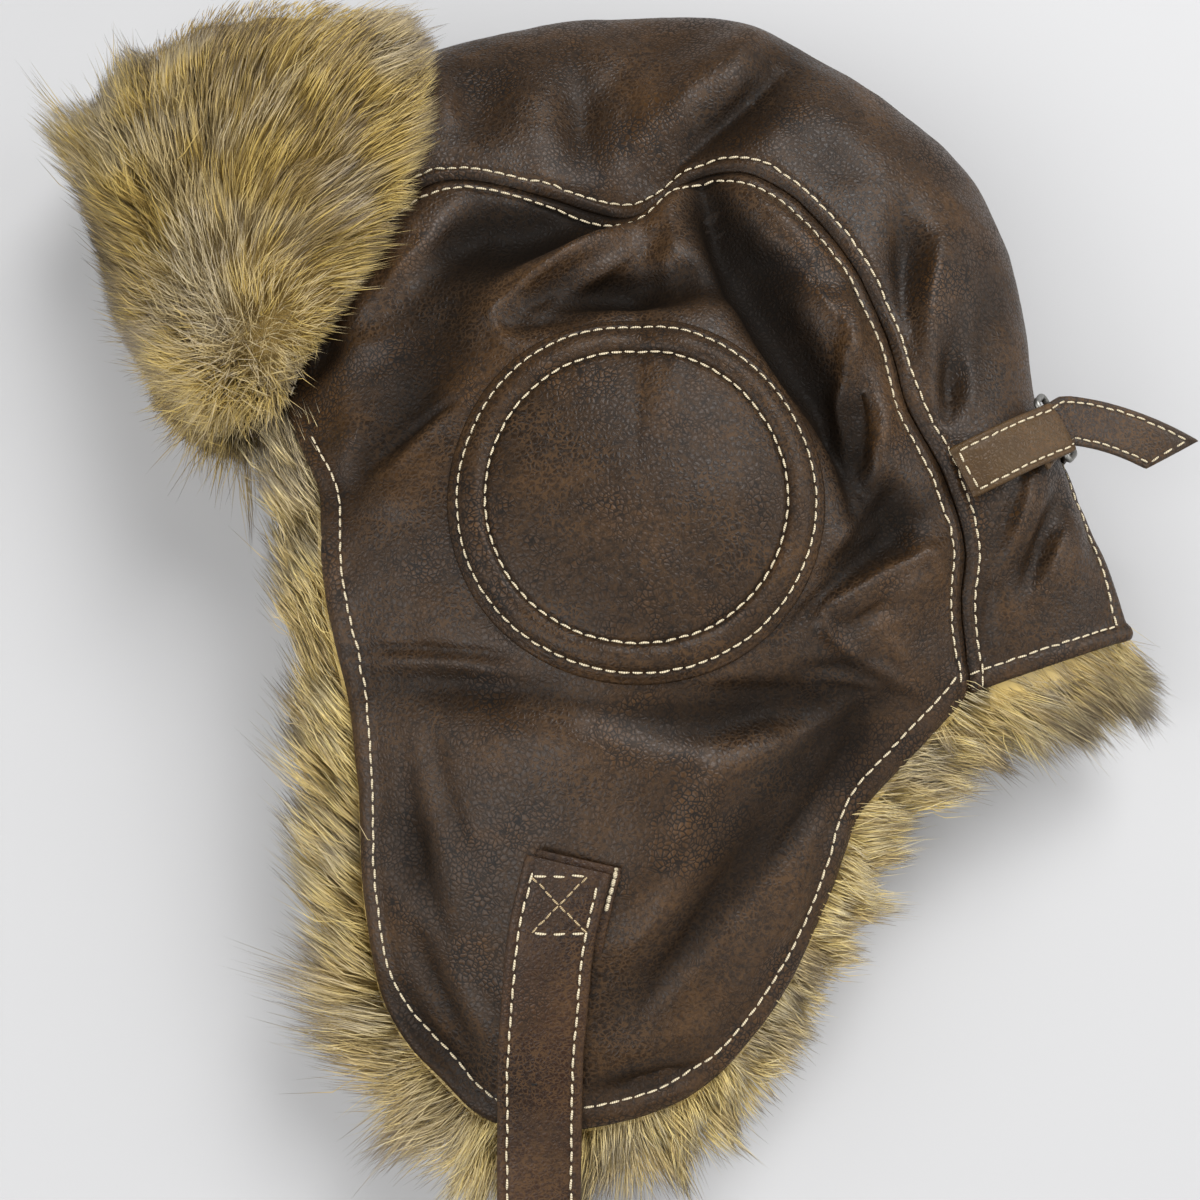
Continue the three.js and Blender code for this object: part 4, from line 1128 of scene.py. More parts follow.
@dataclass
class SewnEdge:
    """Small forms beside the edge of sewn leather, by the distance from it in millimetres."""

    row: float
    band: float = 0.0
    roll: float = 1.0
    pucker: float = 0.28
    seed: int = 1

    def relief(self, distance: Array, points: Array) -> Array:
        """Height of the roll at the edge, the turned band, the sunk stitches and the puckers."""
        rolled = -self.roll * bell(distance - 0.6, 1.0)
        turned = self.band * (1 - smoothstep(distance, self.row - 0.4, self.row + 1.4))
        turned = turned + 0.7 * self.band * bell(distance - self.row / 2, self.row / 3)
        sunk = -0.42 * bell(distance - self.row, 0.85)
        ripples = self.pucker * soft_noise(points, 5.0, self.seed) * bell(distance - self.row, 4.5)
        return rolled + turned + sunk + ripples

    def groove(self, distance: Array) -> Array:
        """Painted shade of the leather at the edge and under the stitches."""
        return np.clip(0.8 * bell(distance - 0.3, 0.8) + 0.35 * bell(distance - self.row, 0.6), 0.0, 1.0)


def undulation(points: Array) -> Array:
    """Soft unevenness of hide, in millimetres."""
    layers = ((0.55, 17.0, 3), (0.25, 7.0, 4), (0.07, 2.6, 6))
    return sum(height * soft_noise(points, size, seed) for height, size, seed in layers)


EDGE_STEPS = np.array([1.0, 1.5, 2.1, 2.8, 3.4, 4.0, 4.6, 5.3, 6.2, 7.3, 8.6, 10.2, 12.0])


@dataclass
class SewnPanel(Part):
    """Leather with a seam and a turned hem, each with its row of stitches."""

    seam_row: float = 4.0
    hem_row: float = 7.0
    hem_band: float = 0.9
    clear_height: float = 1.0
    # fold depth over which the painted shade of a fold valley builds up
    hollow_depth: float = 2.4
    seed: int = 11

    @property
    def seam(self) -> SewnEdge:
        """Small forms beside the seam."""
        return SewnEdge(self.seam_row, roll=0.75, seed=self.seed)

    @property
    def hem(self) -> SewnEdge:
        """Small forms beside the hem."""
        return SewnEdge(self.hem_row, band=self.hem_band, roll=0.25, seed=self.seed + 1)

    def worn(
        self, side: Side, points: Array, relief: Array, folds: Array, to_seam: Array, to_hem: Array
    ) -> tuple[Array, Array, Array]:
        """Adds the sharp creases, and finds how rubbed and how dark the leather is.

        Args:
            side: Which side of the cap; only the left one has creases.
            points: Places on the leather.
            relief: Height of the small forms so far.
            folds: Height of the main folds.
            to_seam: Distance to the seam.
            to_hem: Distance to the hem.

        Returns:
            The relief, the wear and the painted shade values.
        """
        if side is Side.LEFT:
            creases = self.form.crease_height(points)
            relief = relief + creases * smoothstep(np.minimum(to_seam, to_hem), 0.0, 5.0)
            folds = folds + creases
        wear = np.clip(folds / 5.0, 0, 1) + 0.5 * bell(to_hem - 2.0, 2.5) + 0.25 * bell(to_seam - 3.0, 2.5)
        # painted shade in the fold valleys, darker the deeper the valley
        hollow = 1 - np.exp(np.minimum(folds, 0) / self.hollow_depth)
        groove = self.seam.groove(to_seam) + 0.3 * bell(to_hem - self.hem_row, 0.6) + hollow
        return relief, wear, np.clip(groove, 0, 1)

    def above(self, side: Side, line: Array, facing: Array, distance: float) -> Array:
        """Row of stitches raised with the creases that it crosses, at a distance from its edge."""
        if side is Side.RIGHT:
            return line
        creases = self.form.crease_height(line) * smoothstep(distance, 0.0, 5.0)
        return line + facing * (creases + self.clear_height)[:, None]

    def make(self, shell: Shell, rows: Sequence[Array], name: str, node: str, seed: int) -> None:
        """Makes a panel and its stitches."""
        shell.dress(name.format("leather"), self.finishes.leather["crown"], "crown_leather", node)
        Stitcher(seed=seed).sew(rows, shell, name.format("thread"), self.finishes.thread, "crown_leather")


@dataclass
class SidePanels(SewnPanel):
    """The two side panels with their ear flaps, and the threads along their edges."""

    seam_gap: float = 0.3
    end_stitch: float = 3.2
    columns: int = 540
    rings: int = 48

    def reaches(self, side: Side, turns: Array) -> Array:
        """Distance of each ring of corners from the ear, by ring and turn, closer beside the edge."""
        reach = self.form.edge(side, turns)[0] - self.seam_gap
        inner = np.array([0.0, 15.0, 30.0, 42.0])[:, None] * np.ones_like(turns)
        share = np.linspace(0, 1, self.rings, endpoint=False)[:, None]
        middle = lerp(47.0, reach - EDGE_STEPS[-1] - 1.5, share)
        outer = reach - EDGE_STEPS[::-1][:, None]
        if side is Side.RIGHT:
            middle = middle[::3]
        return np.concatenate([inner, middle, outer])

    def distances(self, side: Side, turns: Array, reaches: Array) -> tuple[Array, Array]:
        """Distance to the seam and to the hem of each corner, far away where the edge is the other."""
        form = self.form
        away = form.edge(side, turns)[0] - self.seam_gap - reaches
        ends = (form.seam_start, form.seam_start + FULL_TURN, form.front_turn)
        beside = np.hypot(away, np.min([np.radians(np.abs(turns - end)) * reaches for end in ends], axis=0))
        on_seam = turns <= form.front_turn
        return np.where(on_seam, away, beside), np.where(on_seam, beside, away)

    def shell(self, side: Side) -> Shell:
        """Makes one panel as a closed wall."""
        form = self.form
        is_left = side is Side.LEFT
        columns = self.columns if is_left else self.columns // 2
        turns = np.linspace(form.seam_start, form.seam_start + FULL_TURN, columns + 1)
        reaches = self.reaches(side, turns)
        grid_turns = np.broadcast_to(turns, reaches.shape)
        points = form.panel(side, grid_turns, reaches / form.edge(side, turns)[0])
        to_seam, to_hem = self.distances(side, grid_turns, reaches)
        fade = smoothstep(reaches, 50.0, 60.0)
        relief = self.seam.relief(to_seam, points) + self.hem.relief(to_hem, points) + undulation(points)
        relief = relief * fade * (1.0 if is_left else 0.4)
        folds = form.fold_height(points) if is_left else np.zeros(reaches.shape)
        relief, wear, groove = self.worn(side, points, relief, folds, to_seam, to_hem)
        outward = np.zeros_like(points)
        on_seam = turns <= form.front_turn
        outward[-1, on_seam] = form.seam_facing(side, turns[on_seam])
        sheet = Sheet().grid(points, outward, relief, wear, groove * fade, turned=not is_left)
        return sheet.wall(form.leather, stride=4 if is_left else 2)

    def row(self, side: Side, first_turn: float, last_turn: float, inset: float) -> Array:
        """Row of stitches at a distance inside the edge."""
        turns = np.linspace(first_turn, last_turn, 400)
        share = 1 - (inset + self.seam_gap) / self.form.edge(side, turns)[0]
        line = self.form.panel(side, turns, share)
        return self.above(side, line, self.form.panel_facing(side, turns, share), inset)

    def build(self) -> None:
        """Makes both panels and their stitches."""
        start, front = self.form.seam_start, self.form.front_turn
        for side in Side:
            seam_line = self.row(side, start + 0.5, front - 1, self.seam_row)
            hem_line = self.row(side, front + 5, start + FULL_TURN - 0.5, self.hem_row)
            over_seam = hem_line[-1:] + unit(hem_line[-1:] - hem_line[-2:-1]) * self.end_stitch
            rows = [seam_line, np.concatenate([hem_line, over_seam])]
            name = "side_{}_" + side.word
            self.make(self.shell(side), rows, name, f"side_panel_{side.word}", 21 + side.value)


@dataclass
class CentrePanel(SewnPanel):
    """The strip over the crown from the forehead to the notched nape, and its threads."""

    hem_row: float = 6.5
    hem_band: float = 0.8
    clear_height: float = 0.5
    # fold depth over which the painted shade of a fold valley builds up
    hollow_depth: float = 6.0
    seed: int = 13
    columns: int = 290
    middle_left: int = 44
    middle_right: int = 28
    millimetres_per_turn: float = 2.4
    fine_band: float = 14.0
    far: float = 99.0

    def downs(self, side: Side, turns: Array) -> tuple[Array, ...]:
        """Shares of a section at which corners lie.

        Args:
            side: Half of the panel.
            turns: Turns of the sections.

        Returns:
            The shares, and the distances from the seam and from the middle's edge, by row and turn.
        """
        count = self.middle_left if side is Side.LEFT else self.middle_right
        fine = np.linspace(0, 1, 65)
        sections = []
        for turn in turns:
            stop = 1 - float(self.form.notch(turn))
            run = path_run(self.form.crown(side, np.full(fine.shape, turn), fine * stop))
            length = run[-1]
            open_share = float(np.clip((self.form.notch_turn - turn) / 4.0, 0, 1))
            plain = np.linspace(length - self.fine_band, length, len(EDGE_STEPS) + 1)[1:]
            notched = lerp(plain, length - EDGE_STEPS[::-1], open_share)
            inner = np.linspace(EDGE_STEPS[-1], length - self.fine_band, count + 1)[1:]
            at = np.concatenate([EDGE_STEPS, inner, notched])
            to_middle = np.where(open_share > 0, length - at, self.far)
            sections.append((np.interp(at, run, fine * stop), at, to_middle))
        return tuple(np.array(sections).transpose(1, 2, 0))

    def turns(self) -> Array:
        """Turns of the sections, closer together at the nape's hem."""
        form = self.form
        near = form.seam_start + EDGE_STEPS / self.millimetres_per_turn
        count = self.columns - len(near)
        before = np.linspace(near[-1], form.notch_turn, count // 5 + 1)[1:]
        after = np.linspace(form.notch_turn, form.front_turn, count - count // 5 + 1)[1:]
        return whole(np.concatenate([near, before, after]))

    def shell(self) -> Shell:
        """Makes the panel as a closed wall."""
        form = self.form
        sheet = Sheet()
        turns = self.turns()
        for side in Side:
            downs, to_seam, to_middle = (whole(values) for values in self.downs(side, turns))
            rows = np.broadcast_to(turns, downs.shape)
            points = form.crown(side, rows, downs)
            to_hem = (rows - form.seam_start) * self.millimetres_per_turn
            relief = self.seam.relief(to_seam, points) + undulation(points)
            relief += self.hem.relief(to_hem, points) + self.hem.relief(to_middle, points)
            folds = form.fold_height(points)
            relief, wear, groove = self.worn(side, points, relief, folds, to_seam, to_hem)
            outward = np.zeros_like(points)
            outward[0] = form.seam_facing(side, turns)
            is_right = side is Side.RIGHT
            sheet.grid(points, outward, relief * (0.7 if is_right else 1.0), wear, groove, turned=is_right)
        return sheet.wall(form.leather)

    def at_distance(self, side: Side, first_turn: float, last_turn: float, distance: float) -> Array:
        """Row of stitches at a distance from the seam, or from the notch if it runs up to its end."""
        by_seam = distance == self.seam_row
        turns = np.linspace(first_turn, last_turn, 240 if by_seam else 60)
        shares, from_edge, _ = self.downs(side, turns)
        if not by_seam:
            shares, from_edge = shares[::-1], (from_edge[-1] + 1.0 - from_edge)[::-1]
        at = np.array([np.interp(distance, from_edge[:, i], shares[:, i]) for i in range(len(turns))])
        line = self.form.crown(side, turns, at)
        return self.above(side, line, self.form.crown_facing(side, turns, at), distance)

    def build(self) -> None:
        """Makes the panel and its stitches along the seams, the nape's hem and the notch."""
        form = self.form
        start = form.seam_start
        nape_turn = start + self.hem_row / self.millimetres_per_turn
        downs = np.linspace(0.0, 1 - float(form.notch(start)) - 0.04, 60)
        rows = []
        for side in Side:
            rows.append(self.at_distance(side, start + 0.5, form.front_turn - 1, self.seam_row))
            rows.append(form.crown(side, np.full(downs.shape, nape_turn), downs))
            rows.append(self.at_distance(side, nape_turn, form.notch_turn + 2, self.hem_row))
        self.make(self.shell(), rows, "centre_{}", "centre_panel", 31)


@dataclass
class SeamTape(Part):
    """The turned-in allowances that back each seam between a side and the centre panel."""

    half_width: float = 5.0
    thickness: float = 0.8

    def build(self) -> None:
        """Makes the tape of each seam."""
        form = self.form
        turns = np.linspace(form.seam_start + 1.5, form.front_turn - 2, 180)
        offset = form.leather + 0.35
        for side in Side:
            reach, _ = form.edge(side, turns)
            facing = form.seam_facing(side, turns)[:, None]
            shares = np.array([self.half_width, self.half_width / 2])[:, None] / reach
            rows = np.broadcast_to(turns, shares.shape)
            on_side = form.panel(side, rows, 1 - shares)
            on_crown = form.crown(side, rows, shares[::-1] * 0.9)
            middle = form.panel(side, turns, np.ones_like(turns))[None]
            lines = np.concatenate([on_side, middle, on_crown]).swapaxes(0, 1)
            is_left = side is Side.LEFT
            sunk = np.minimum(form.crease_height(lines), 0) if is_left else np.zeros(lines.shape[:2])
            sheet = Sheet().grid(lines - facing * (offset - sunk[..., None]), turned=is_left)
            shell = sheet.wall(self.thickness, stride=1, rim_steps=2)
            shell.dress(f"seam_tape_{side.word}", self.finishes.leather["crown"], "crown_leather")


@dataclass
class EarPatches(Part):
    """The round padded patches over the ears, each with two rings of stitches."""

    ring_inner: float = 41.5
    ring_outer: float = 49.6
    edge: float = 2.4
    gap: float = 0.5
    columns: int = 320

    def height(self, radius: Array, turn: Array, points: Array) -> Array:
        """Height of the upper face above the panel: a low dome inside a padded ring."""
        inner, outer = self.ring_inner, self.ring_outer
        ring = (radius - inner) / (outer - inner)
        dome = self.edge + 2.2 * np.maximum(1 - (radius / inner) ** 2, 0) ** 0.6
        padded = self.edge + 1.9 * np.sin(np.pi * np.clip(ring, 0, 1)) ** 0.75
        flange = self.edge - 0.2 - 1.0 * smoothstep(radius, outer + 0.5, self.form.patch_radius)
        height = np.where(radius < inner, dome, np.where(ring < 1, padded, flange))
        height = height - 0.55 * bell(radius - inner, 0.8) - 0.4 * bell(radius - outer, 0.7)
        beside = bell(radius - inner, 5.0) + bell(radius - outer, 3.0)
        puckers = 0.3 * soft_noise(polar(turn, 20.0, radius * 0.05), 1.9, 41) * beside
        uneven = 0.3 * soft_noise(points, 13.0, 42) * smoothstep(outer - radius, 0, 20)
        return height + puckers + uneven

    def radii(self) -> Array:
        """Radii of the rings of corners, closer beside the stitches."""
        inner, outer = self.ring_inner, self.ring_outer
        spans = (
            (0, inner - 4, 12), (inner - 3, inner + 2, 11), (inner + 3, outer - 2, 6),
            (outer - 1.4, self.form.patch_radius, 10),
        )
        return np.concatenate([np.linspace(*span) for span in spans])

    def on_panel(self, side: Side, turns: Array, radii: Array) -> Array:
        """Places on the panel under a patch, by radius and turn."""
        radii, turns = np.broadcast_arrays(radii[:, None], turns)
        return self.form.panel(side, turns, radii / self.form.edge(side, turns)[0])

    def upper(self) -> Shell:
        """Makes the upper patch, which follows the panel under it."""
        turns = np.linspace(0, FULL_TURN, self.columns + 1)
        radii = self.radii()
        under = self.on_panel(Side.LEFT, turns, radii)
        ring_radii, ring_turns = np.broadcast_arrays(radii[:, None], turns)
        top = under + UP * (self.gap + self.height(ring_radii, ring_turns, under))[..., None]
        low_radii = np.array([self.form.patch_radius, 44.0, 30.0, 0.0])
        low = self.on_panel(Side.LEFT, turns, low_radii) + UP * self.gap
        rim = (top[-1:] + low[:1]) / 2 + polar(turns, 0.5, 0.0)[None]
        # painted shade in the two sunk stitch rings
        groove = 0.6 * bell(radii - self.ring_inner, 0.7) + 0.4 * bell(radii - self.ring_outer, 0.6)
        wear = 0.45 * bell(radii - 45.5, 2.6) + 0.35 * bell(radii - 51.5, 1.0)
        return self.closed(np.concatenate([top, rim, low]), wear, groove)

    def lower(self) -> Shell:
        """Makes the lower patch, pressed flat where the cap rests on it."""
        turns = np.linspace(0, FULL_TURN, self.columns // 2 + 1)
        radii = self.radii()
        sunk = 0.45 * bell(radii - self.ring_inner, 0.9) + 0.5 * bell(radii - self.ring_outer, 0.8)
        sunk = sunk + 1.0 * smoothstep(radii, self.form.patch_radius - 1.6, self.form.patch_radius)
        bottom = polar(turns[None], radii[:, None], sunk[:, None])
        top_radii = np.array([self.form.patch_radius, 30.0, 0.0])
        top = polar(turns[None], top_radii[:, None], np.full((3, 1), self.form.right_base - CLEARANCE))
        # painted shade in the inner sunk stitch ring
        groove = 0.6 * bell(radii - self.ring_inner, 0.7)
        return self.closed(np.concatenate([bottom, top])[:, ::-1], np.zeros(len(radii)), groove)

    @staticmethod
    def closed(points: Array, wear: Array, groove: Array) -> Shell:
        """Shell of a grid that has no open edge, with values for its first rings."""
        rings, columns = points.shape[:2]
        still = np.zeros(rings - len(wear))
        values = [np.tile(np.append(ring, still)[:, None], columns) for ring in (wear, groove)]
        sheet = Sheet().grid(points, None, None, *values)
        grids, first = sheet.indices()
        faces = [list(dict.fromkeys(quad)) for quad in sheet.quads(grids).tolist()]
        faces = [face for face in faces if len(face) > 2]
        values = {"wear": sheet.wear[0][first], "groove": sheet.groove[0][first]}
        return Shell(sheet.points[0][first], faces, values)

    def threads(self, side: Side) -> list[Array]:
        """The two rings of stitches."""
        turns = np.linspace(0, FULL_TURN, 200)
        radii = np.array([self.ring_inner, self.ring_outer])
        if side is Side.RIGHT:
            return [polar(turns, radius, -1.0) for radius in radii]
        return list(self.on_panel(side, turns, radii) + UP * (self.gap + self.edge))

    def build(self) -> None:
        """Makes both patches and their stitches."""
        material, thread = self.finishes.leather["patch"], self.finishes.thread
        for side, shell, fill, lift in (
            (Side.LEFT, self.upper(), 0.5, 0.12),
            (Side.RIGHT, self.lower(), 0.3, -0.45),
        ):
            piece = shell.dress(f"ear_pad_{side.word}", material, "patch_leather", f"ear_patch_{side.word}")
            rings = Stitcher(seed=51 + side.value, lift=lift)
            rings.sew(self.threads(side), shell, f"ear_thread_{side.word}", thread, "patch_leather")


@dataclass
class Peak(Part):
    """The turned-up peak's leather, between the crown and its fur."""

    form: PeakForm
    columns: int = 120
    rows: int = 40

    def build(self) -> None:
        """Makes the peak."""
        along = np.linspace(-1, 1, self.columns + 1)[:, None]
        share = np.linspace(0, 1, self.rows + 1)[None]
        points = self.form.point(*np.broadcast_arrays(along, share))
        points[..., 2] = np.maximum(points[..., 2], 2.4)
        wear = np.broadcast_to(0.5 * bell(1 - share, 0.05), points.shape[:2])
        sheet = Sheet().grid(points, None, 0.6 * undulation(points), wear)
        shell = sheet.wall(self.form.form.leather, stride=2)
        shell.dress("peak_leather", self.finishes.leather["crown"], "crown_leather", "peak")


EYE = (-10.0, -110.8, 478.7)
SEEN_HEIGHT = 60.0


def seen(points: Array) -> Array:
    """Where the lines of sight from above the cap to some places cross one level, in plan."""
    eye = np.array(EYE)
    scale = (eye[2] - SEEN_HEIGHT) / (eye[2] - points[:, 2])
    return eye[:2] + (points[:, :2] - eye[:2]) * scale[:, None]


def near(places: Array, spot: tuple[float, float], width: float) -> Array:
    """Hump of height 1 round a spot in plan."""
    return bell(np.linalg.norm(places - spot, axis=1), width)


@dataclass(frozen=True)
class Comb:
    """Directions in plan that fur is combed in, blended from listed guides.

    Attributes:
        guides: The X, Y and turn of each guide, as seen from above the cap.
        reach: Distance over which a guide gives way to the next.
    """

    guides: Sequence[tuple[float, float, float]]
    reach: float = 13.0

    def direction(self, points: Array) -> Array:
        """Level direction at each place, blended from the guides near it."""
        guides = np.array(self.guides, float)
        angles = np.radians(guides[:, 2])
        ways = np.stack([np.cos(angles), np.sin(angles), np.zeros(len(guides))], axis=1)
        places = seen(points)
        level = np.empty((len(points), 3))
        for start in range(0, len(points), 4000):
            part = slice(start, start + 4000)
            gap = np.square(places[part, None] - guides[None, :, :2]).sum(axis=2)
            weight = np.exp(-(gap - gap.min(axis=1, keepdims=True)) / self.reach**2)
            level[part] = weight @ ways
        return unit(level)


PEAK_COMB = Comb((
    (-78, 168, 28), (-103, 161, 42), (-129, 161, 58), (-141, 148, 74), (-157, 152, 104), (-162, 140, 120),
    (-177, 132, 150), (-171, 113, 145), (-158, 96, 143), (-159, 80, 150), (-148, 63, 168), (-140, 52, 195),
    (-130, 42, 222), (-120, 39, 258), (-112, 32, 280), (-106, 45, 305), (-101, 58, 322), (-92, 71, 345),
    (-85, 85, 2), (-74, 105, 22), (-69, 124, 34), (-66, 148, 40), (-101, 107, 44), (-114, 120, 58),
    (-127, 93, 84), (-139, 117, 80), (-153, 131, 100), (-117, 80, 66), (-109, 73, 30), (-137, 83, 120),
    (-146, 96, 128), (-149, 76, 148), (-136, 63, 165), (-121, 63, 75), (-122, 52, 230), (-100, 88, 28),
    (-89, 131, 42), (-109, 141, 52), (-124, 134, 64), (-137, 131, 80), (-152, 113, 124), (-127, 73, 95),
    (-88, 107, 32), (-97, 73, 5),
), reach=11.0)

HEM_COMB = Comb((
    (-100, 18, 112), (-103, 3, 115), (-103, -16, 125), (-98, -34, 120), (-100, -52, 128), (-97, -69, 130),
    (-96, -86, 132), (-92, -103, 135), (-86, -120, 138), (-83, -133, 142), (-79, -144, 165),
    (-82, -149, 184), (-85, -157, 190), (-79, -165, 200), (-70, -173, 212), (-56, -181, 230),
    (-43, -186, 245), (-26, -186, 262), (-5, -183, 270), (9, -176, 283), (23, -165, 300), (37, -152, 322),
    (46, -139, 335), (57, -122, 345), (64, -109, 355), (70, -97, 5), (73, -86, 12), (79, -78, 0),
    (88, -69, 345), (100, -60, 335), (115, -55, 325), (133, -49, 322), (148, -40, 325),
))


@dataclass(frozen=True)
class Fur:
    """Tufted fur: strands that taper at both ends and lean together in locks.

    Attributes:
        seed: Number that picks the strands.
        length: Length of a full strand.
        width: Width of a strand in its middle.
        tuft: Strands in a lock.
        gather: How far the tips of a lock draw together.
        stray: How far strands and locks turn from the comb.
        fall: How far the tips drop.
        floor: Lowest place that a strand may reach.
    """

    seed: int
    length: float = 27.0
    width: float = 0.27
    tuft: int = 80
    gather: float = 0.55
    stray: float = 0.11
    fall: float = 0.16
    floor: float = 0.4

    def strands(
        self,
        roots: Array,
        level: Array,
        facing: Array,
        lift: Array,
        scale: Array,
        lean: Array,
        limit: Callable[[Array, Array, np.random.Generator], Array] | None = None,
    ) -> Shell:
        """Grows a strand on each root.

        Args:
            roots: Places of the roots.
            level: The way each is combed.
            facing: Outward direction of the skin at each.
            lift: How much each stands off the skin.
            scale: Share of the full length of each.
            lean: How much each leans to the grey tones, up to 1, or to dark tips, down to -1.
            limit: Gives the share of each strand, by root and tip, that stays, if any is cut.

        Returns:
            All the strands, each a closed spindle, with u its tuft and v from root to tip.
        """
        random = np.random.default_rng(self.seed)
        count = len(roots)
        guides = random.choice(count, max(count // self.tuft, 1), replace=False)
        owner = np.empty(count, int)
        for start in range(0, count, 2000):
            gap = np.square(roots[start : start + 2000, None] - roots[guides][None]).sum(axis=2)
            owner[start : start + 2000] = gap.argmin(axis=1)
        swirl = random.normal(0, self.stray * 1.5, (len(guides), 3))[owner]
        loose = 1 + 2.2 * (random.uniform(0, 1, count) > 0.86)[:, None]
        own = random.normal(0, self.stray, (count, 3)) * loose
        drift = np.stack([soft_noise(roots, 15.0, self.seed + i) for i in range(3)], axis=1) * 0.34
        aim = unit(level + facing * lift[:, None] + swirl + own + drift)
        inward = np.minimum((aim * facing).sum(axis=1, keepdims=True) - 0.02, 0)
        aim = unit(aim - facing * inward)
        tuft_length = random.uniform(0.78, 1.15, len(guides))[owner]
        length = self.length * scale * tuft_length * np.clip(random.normal(0.96, 0.15, count), 0.45, 1.35)
        bend = unit(level - facing * 0.2 - UP * self.fall + own * 0.6 + swirl * 0.5)
        tip = roots + aim * (length * 0.62)[:, None] + bend * (length * 0.4)[:, None]
        guide_tip = tip[guides][owner] + (roots - roots[guides][owner]) * 0.25
        share = (self.gather * random.uniform(0.35, 1.0, count))[:, None]
        tip = lerp(tip, guide_tip, share)
        middle = lerp(roots + aim * (length * 0.5)[:, None], lerp(roots, tip, 0.5), 0.45)
        if limit is not None:
            kept = limit(roots, tip, random)[:, None]
            tip = lerp(roots, tip, kept)
            middle = lerp(roots, middle, kept)
        for place in (roots, middle, tip):
            place[:, 2] = np.maximum(place[:, 2], self.floor)
        tone = 0.65 * random.uniform(0, 1, len(guides))[owner] + 0.35 * random.uniform(0, 1, count)
        tone = np.where(lean > 0, tone * (1 - lean), lerp(tone, 0.7 + 0.3 * tone, -lean))
        return self.spindles(roots, middle, tip, tone, random)

    def spindles(
        self, root: Array, middle: Array, tip: Array, tone: Array, random: np.random.Generator
    ) -> Shell:
        """Builds the closed spindles, widest in their middle."""
        count = len(root)
        girth = (self.width * random.uniform(0.65, 1.2, count) / 2)[:, None]
        along = unit(tip - root)
        side = unit(np.cross(along, unit(random.normal(0, 1, (count, 3)))))
        over = np.cross(side, along)
        corners = [root]
        for angle in (90.0, 210.0, 330.0):
            push = side * math.cos(math.radians(angle)) + over * math.sin(math.radians(angle))
            corners.append(middle + push * girth)
        corners.append(tip)
        points = np.stack(corners, axis=1).reshape(-1, 3)
        pattern = np.array([(0, 2, 1), (0, 3, 2), (0, 1, 3), (1, 2, 4), (2, 3, 4), (3, 1, 4)])
        faces = (pattern[None] + np.arange(count)[:, None, None] * 5).reshape(-1, 3).tolist()
        v = np.array([0.0, 0.45, 0.45, 0.45, 1.0])
        uv = np.stack([np.repeat(tone, 5), np.tile(v, count)], axis=1)
        return Shell(points, faces, {}, uv)


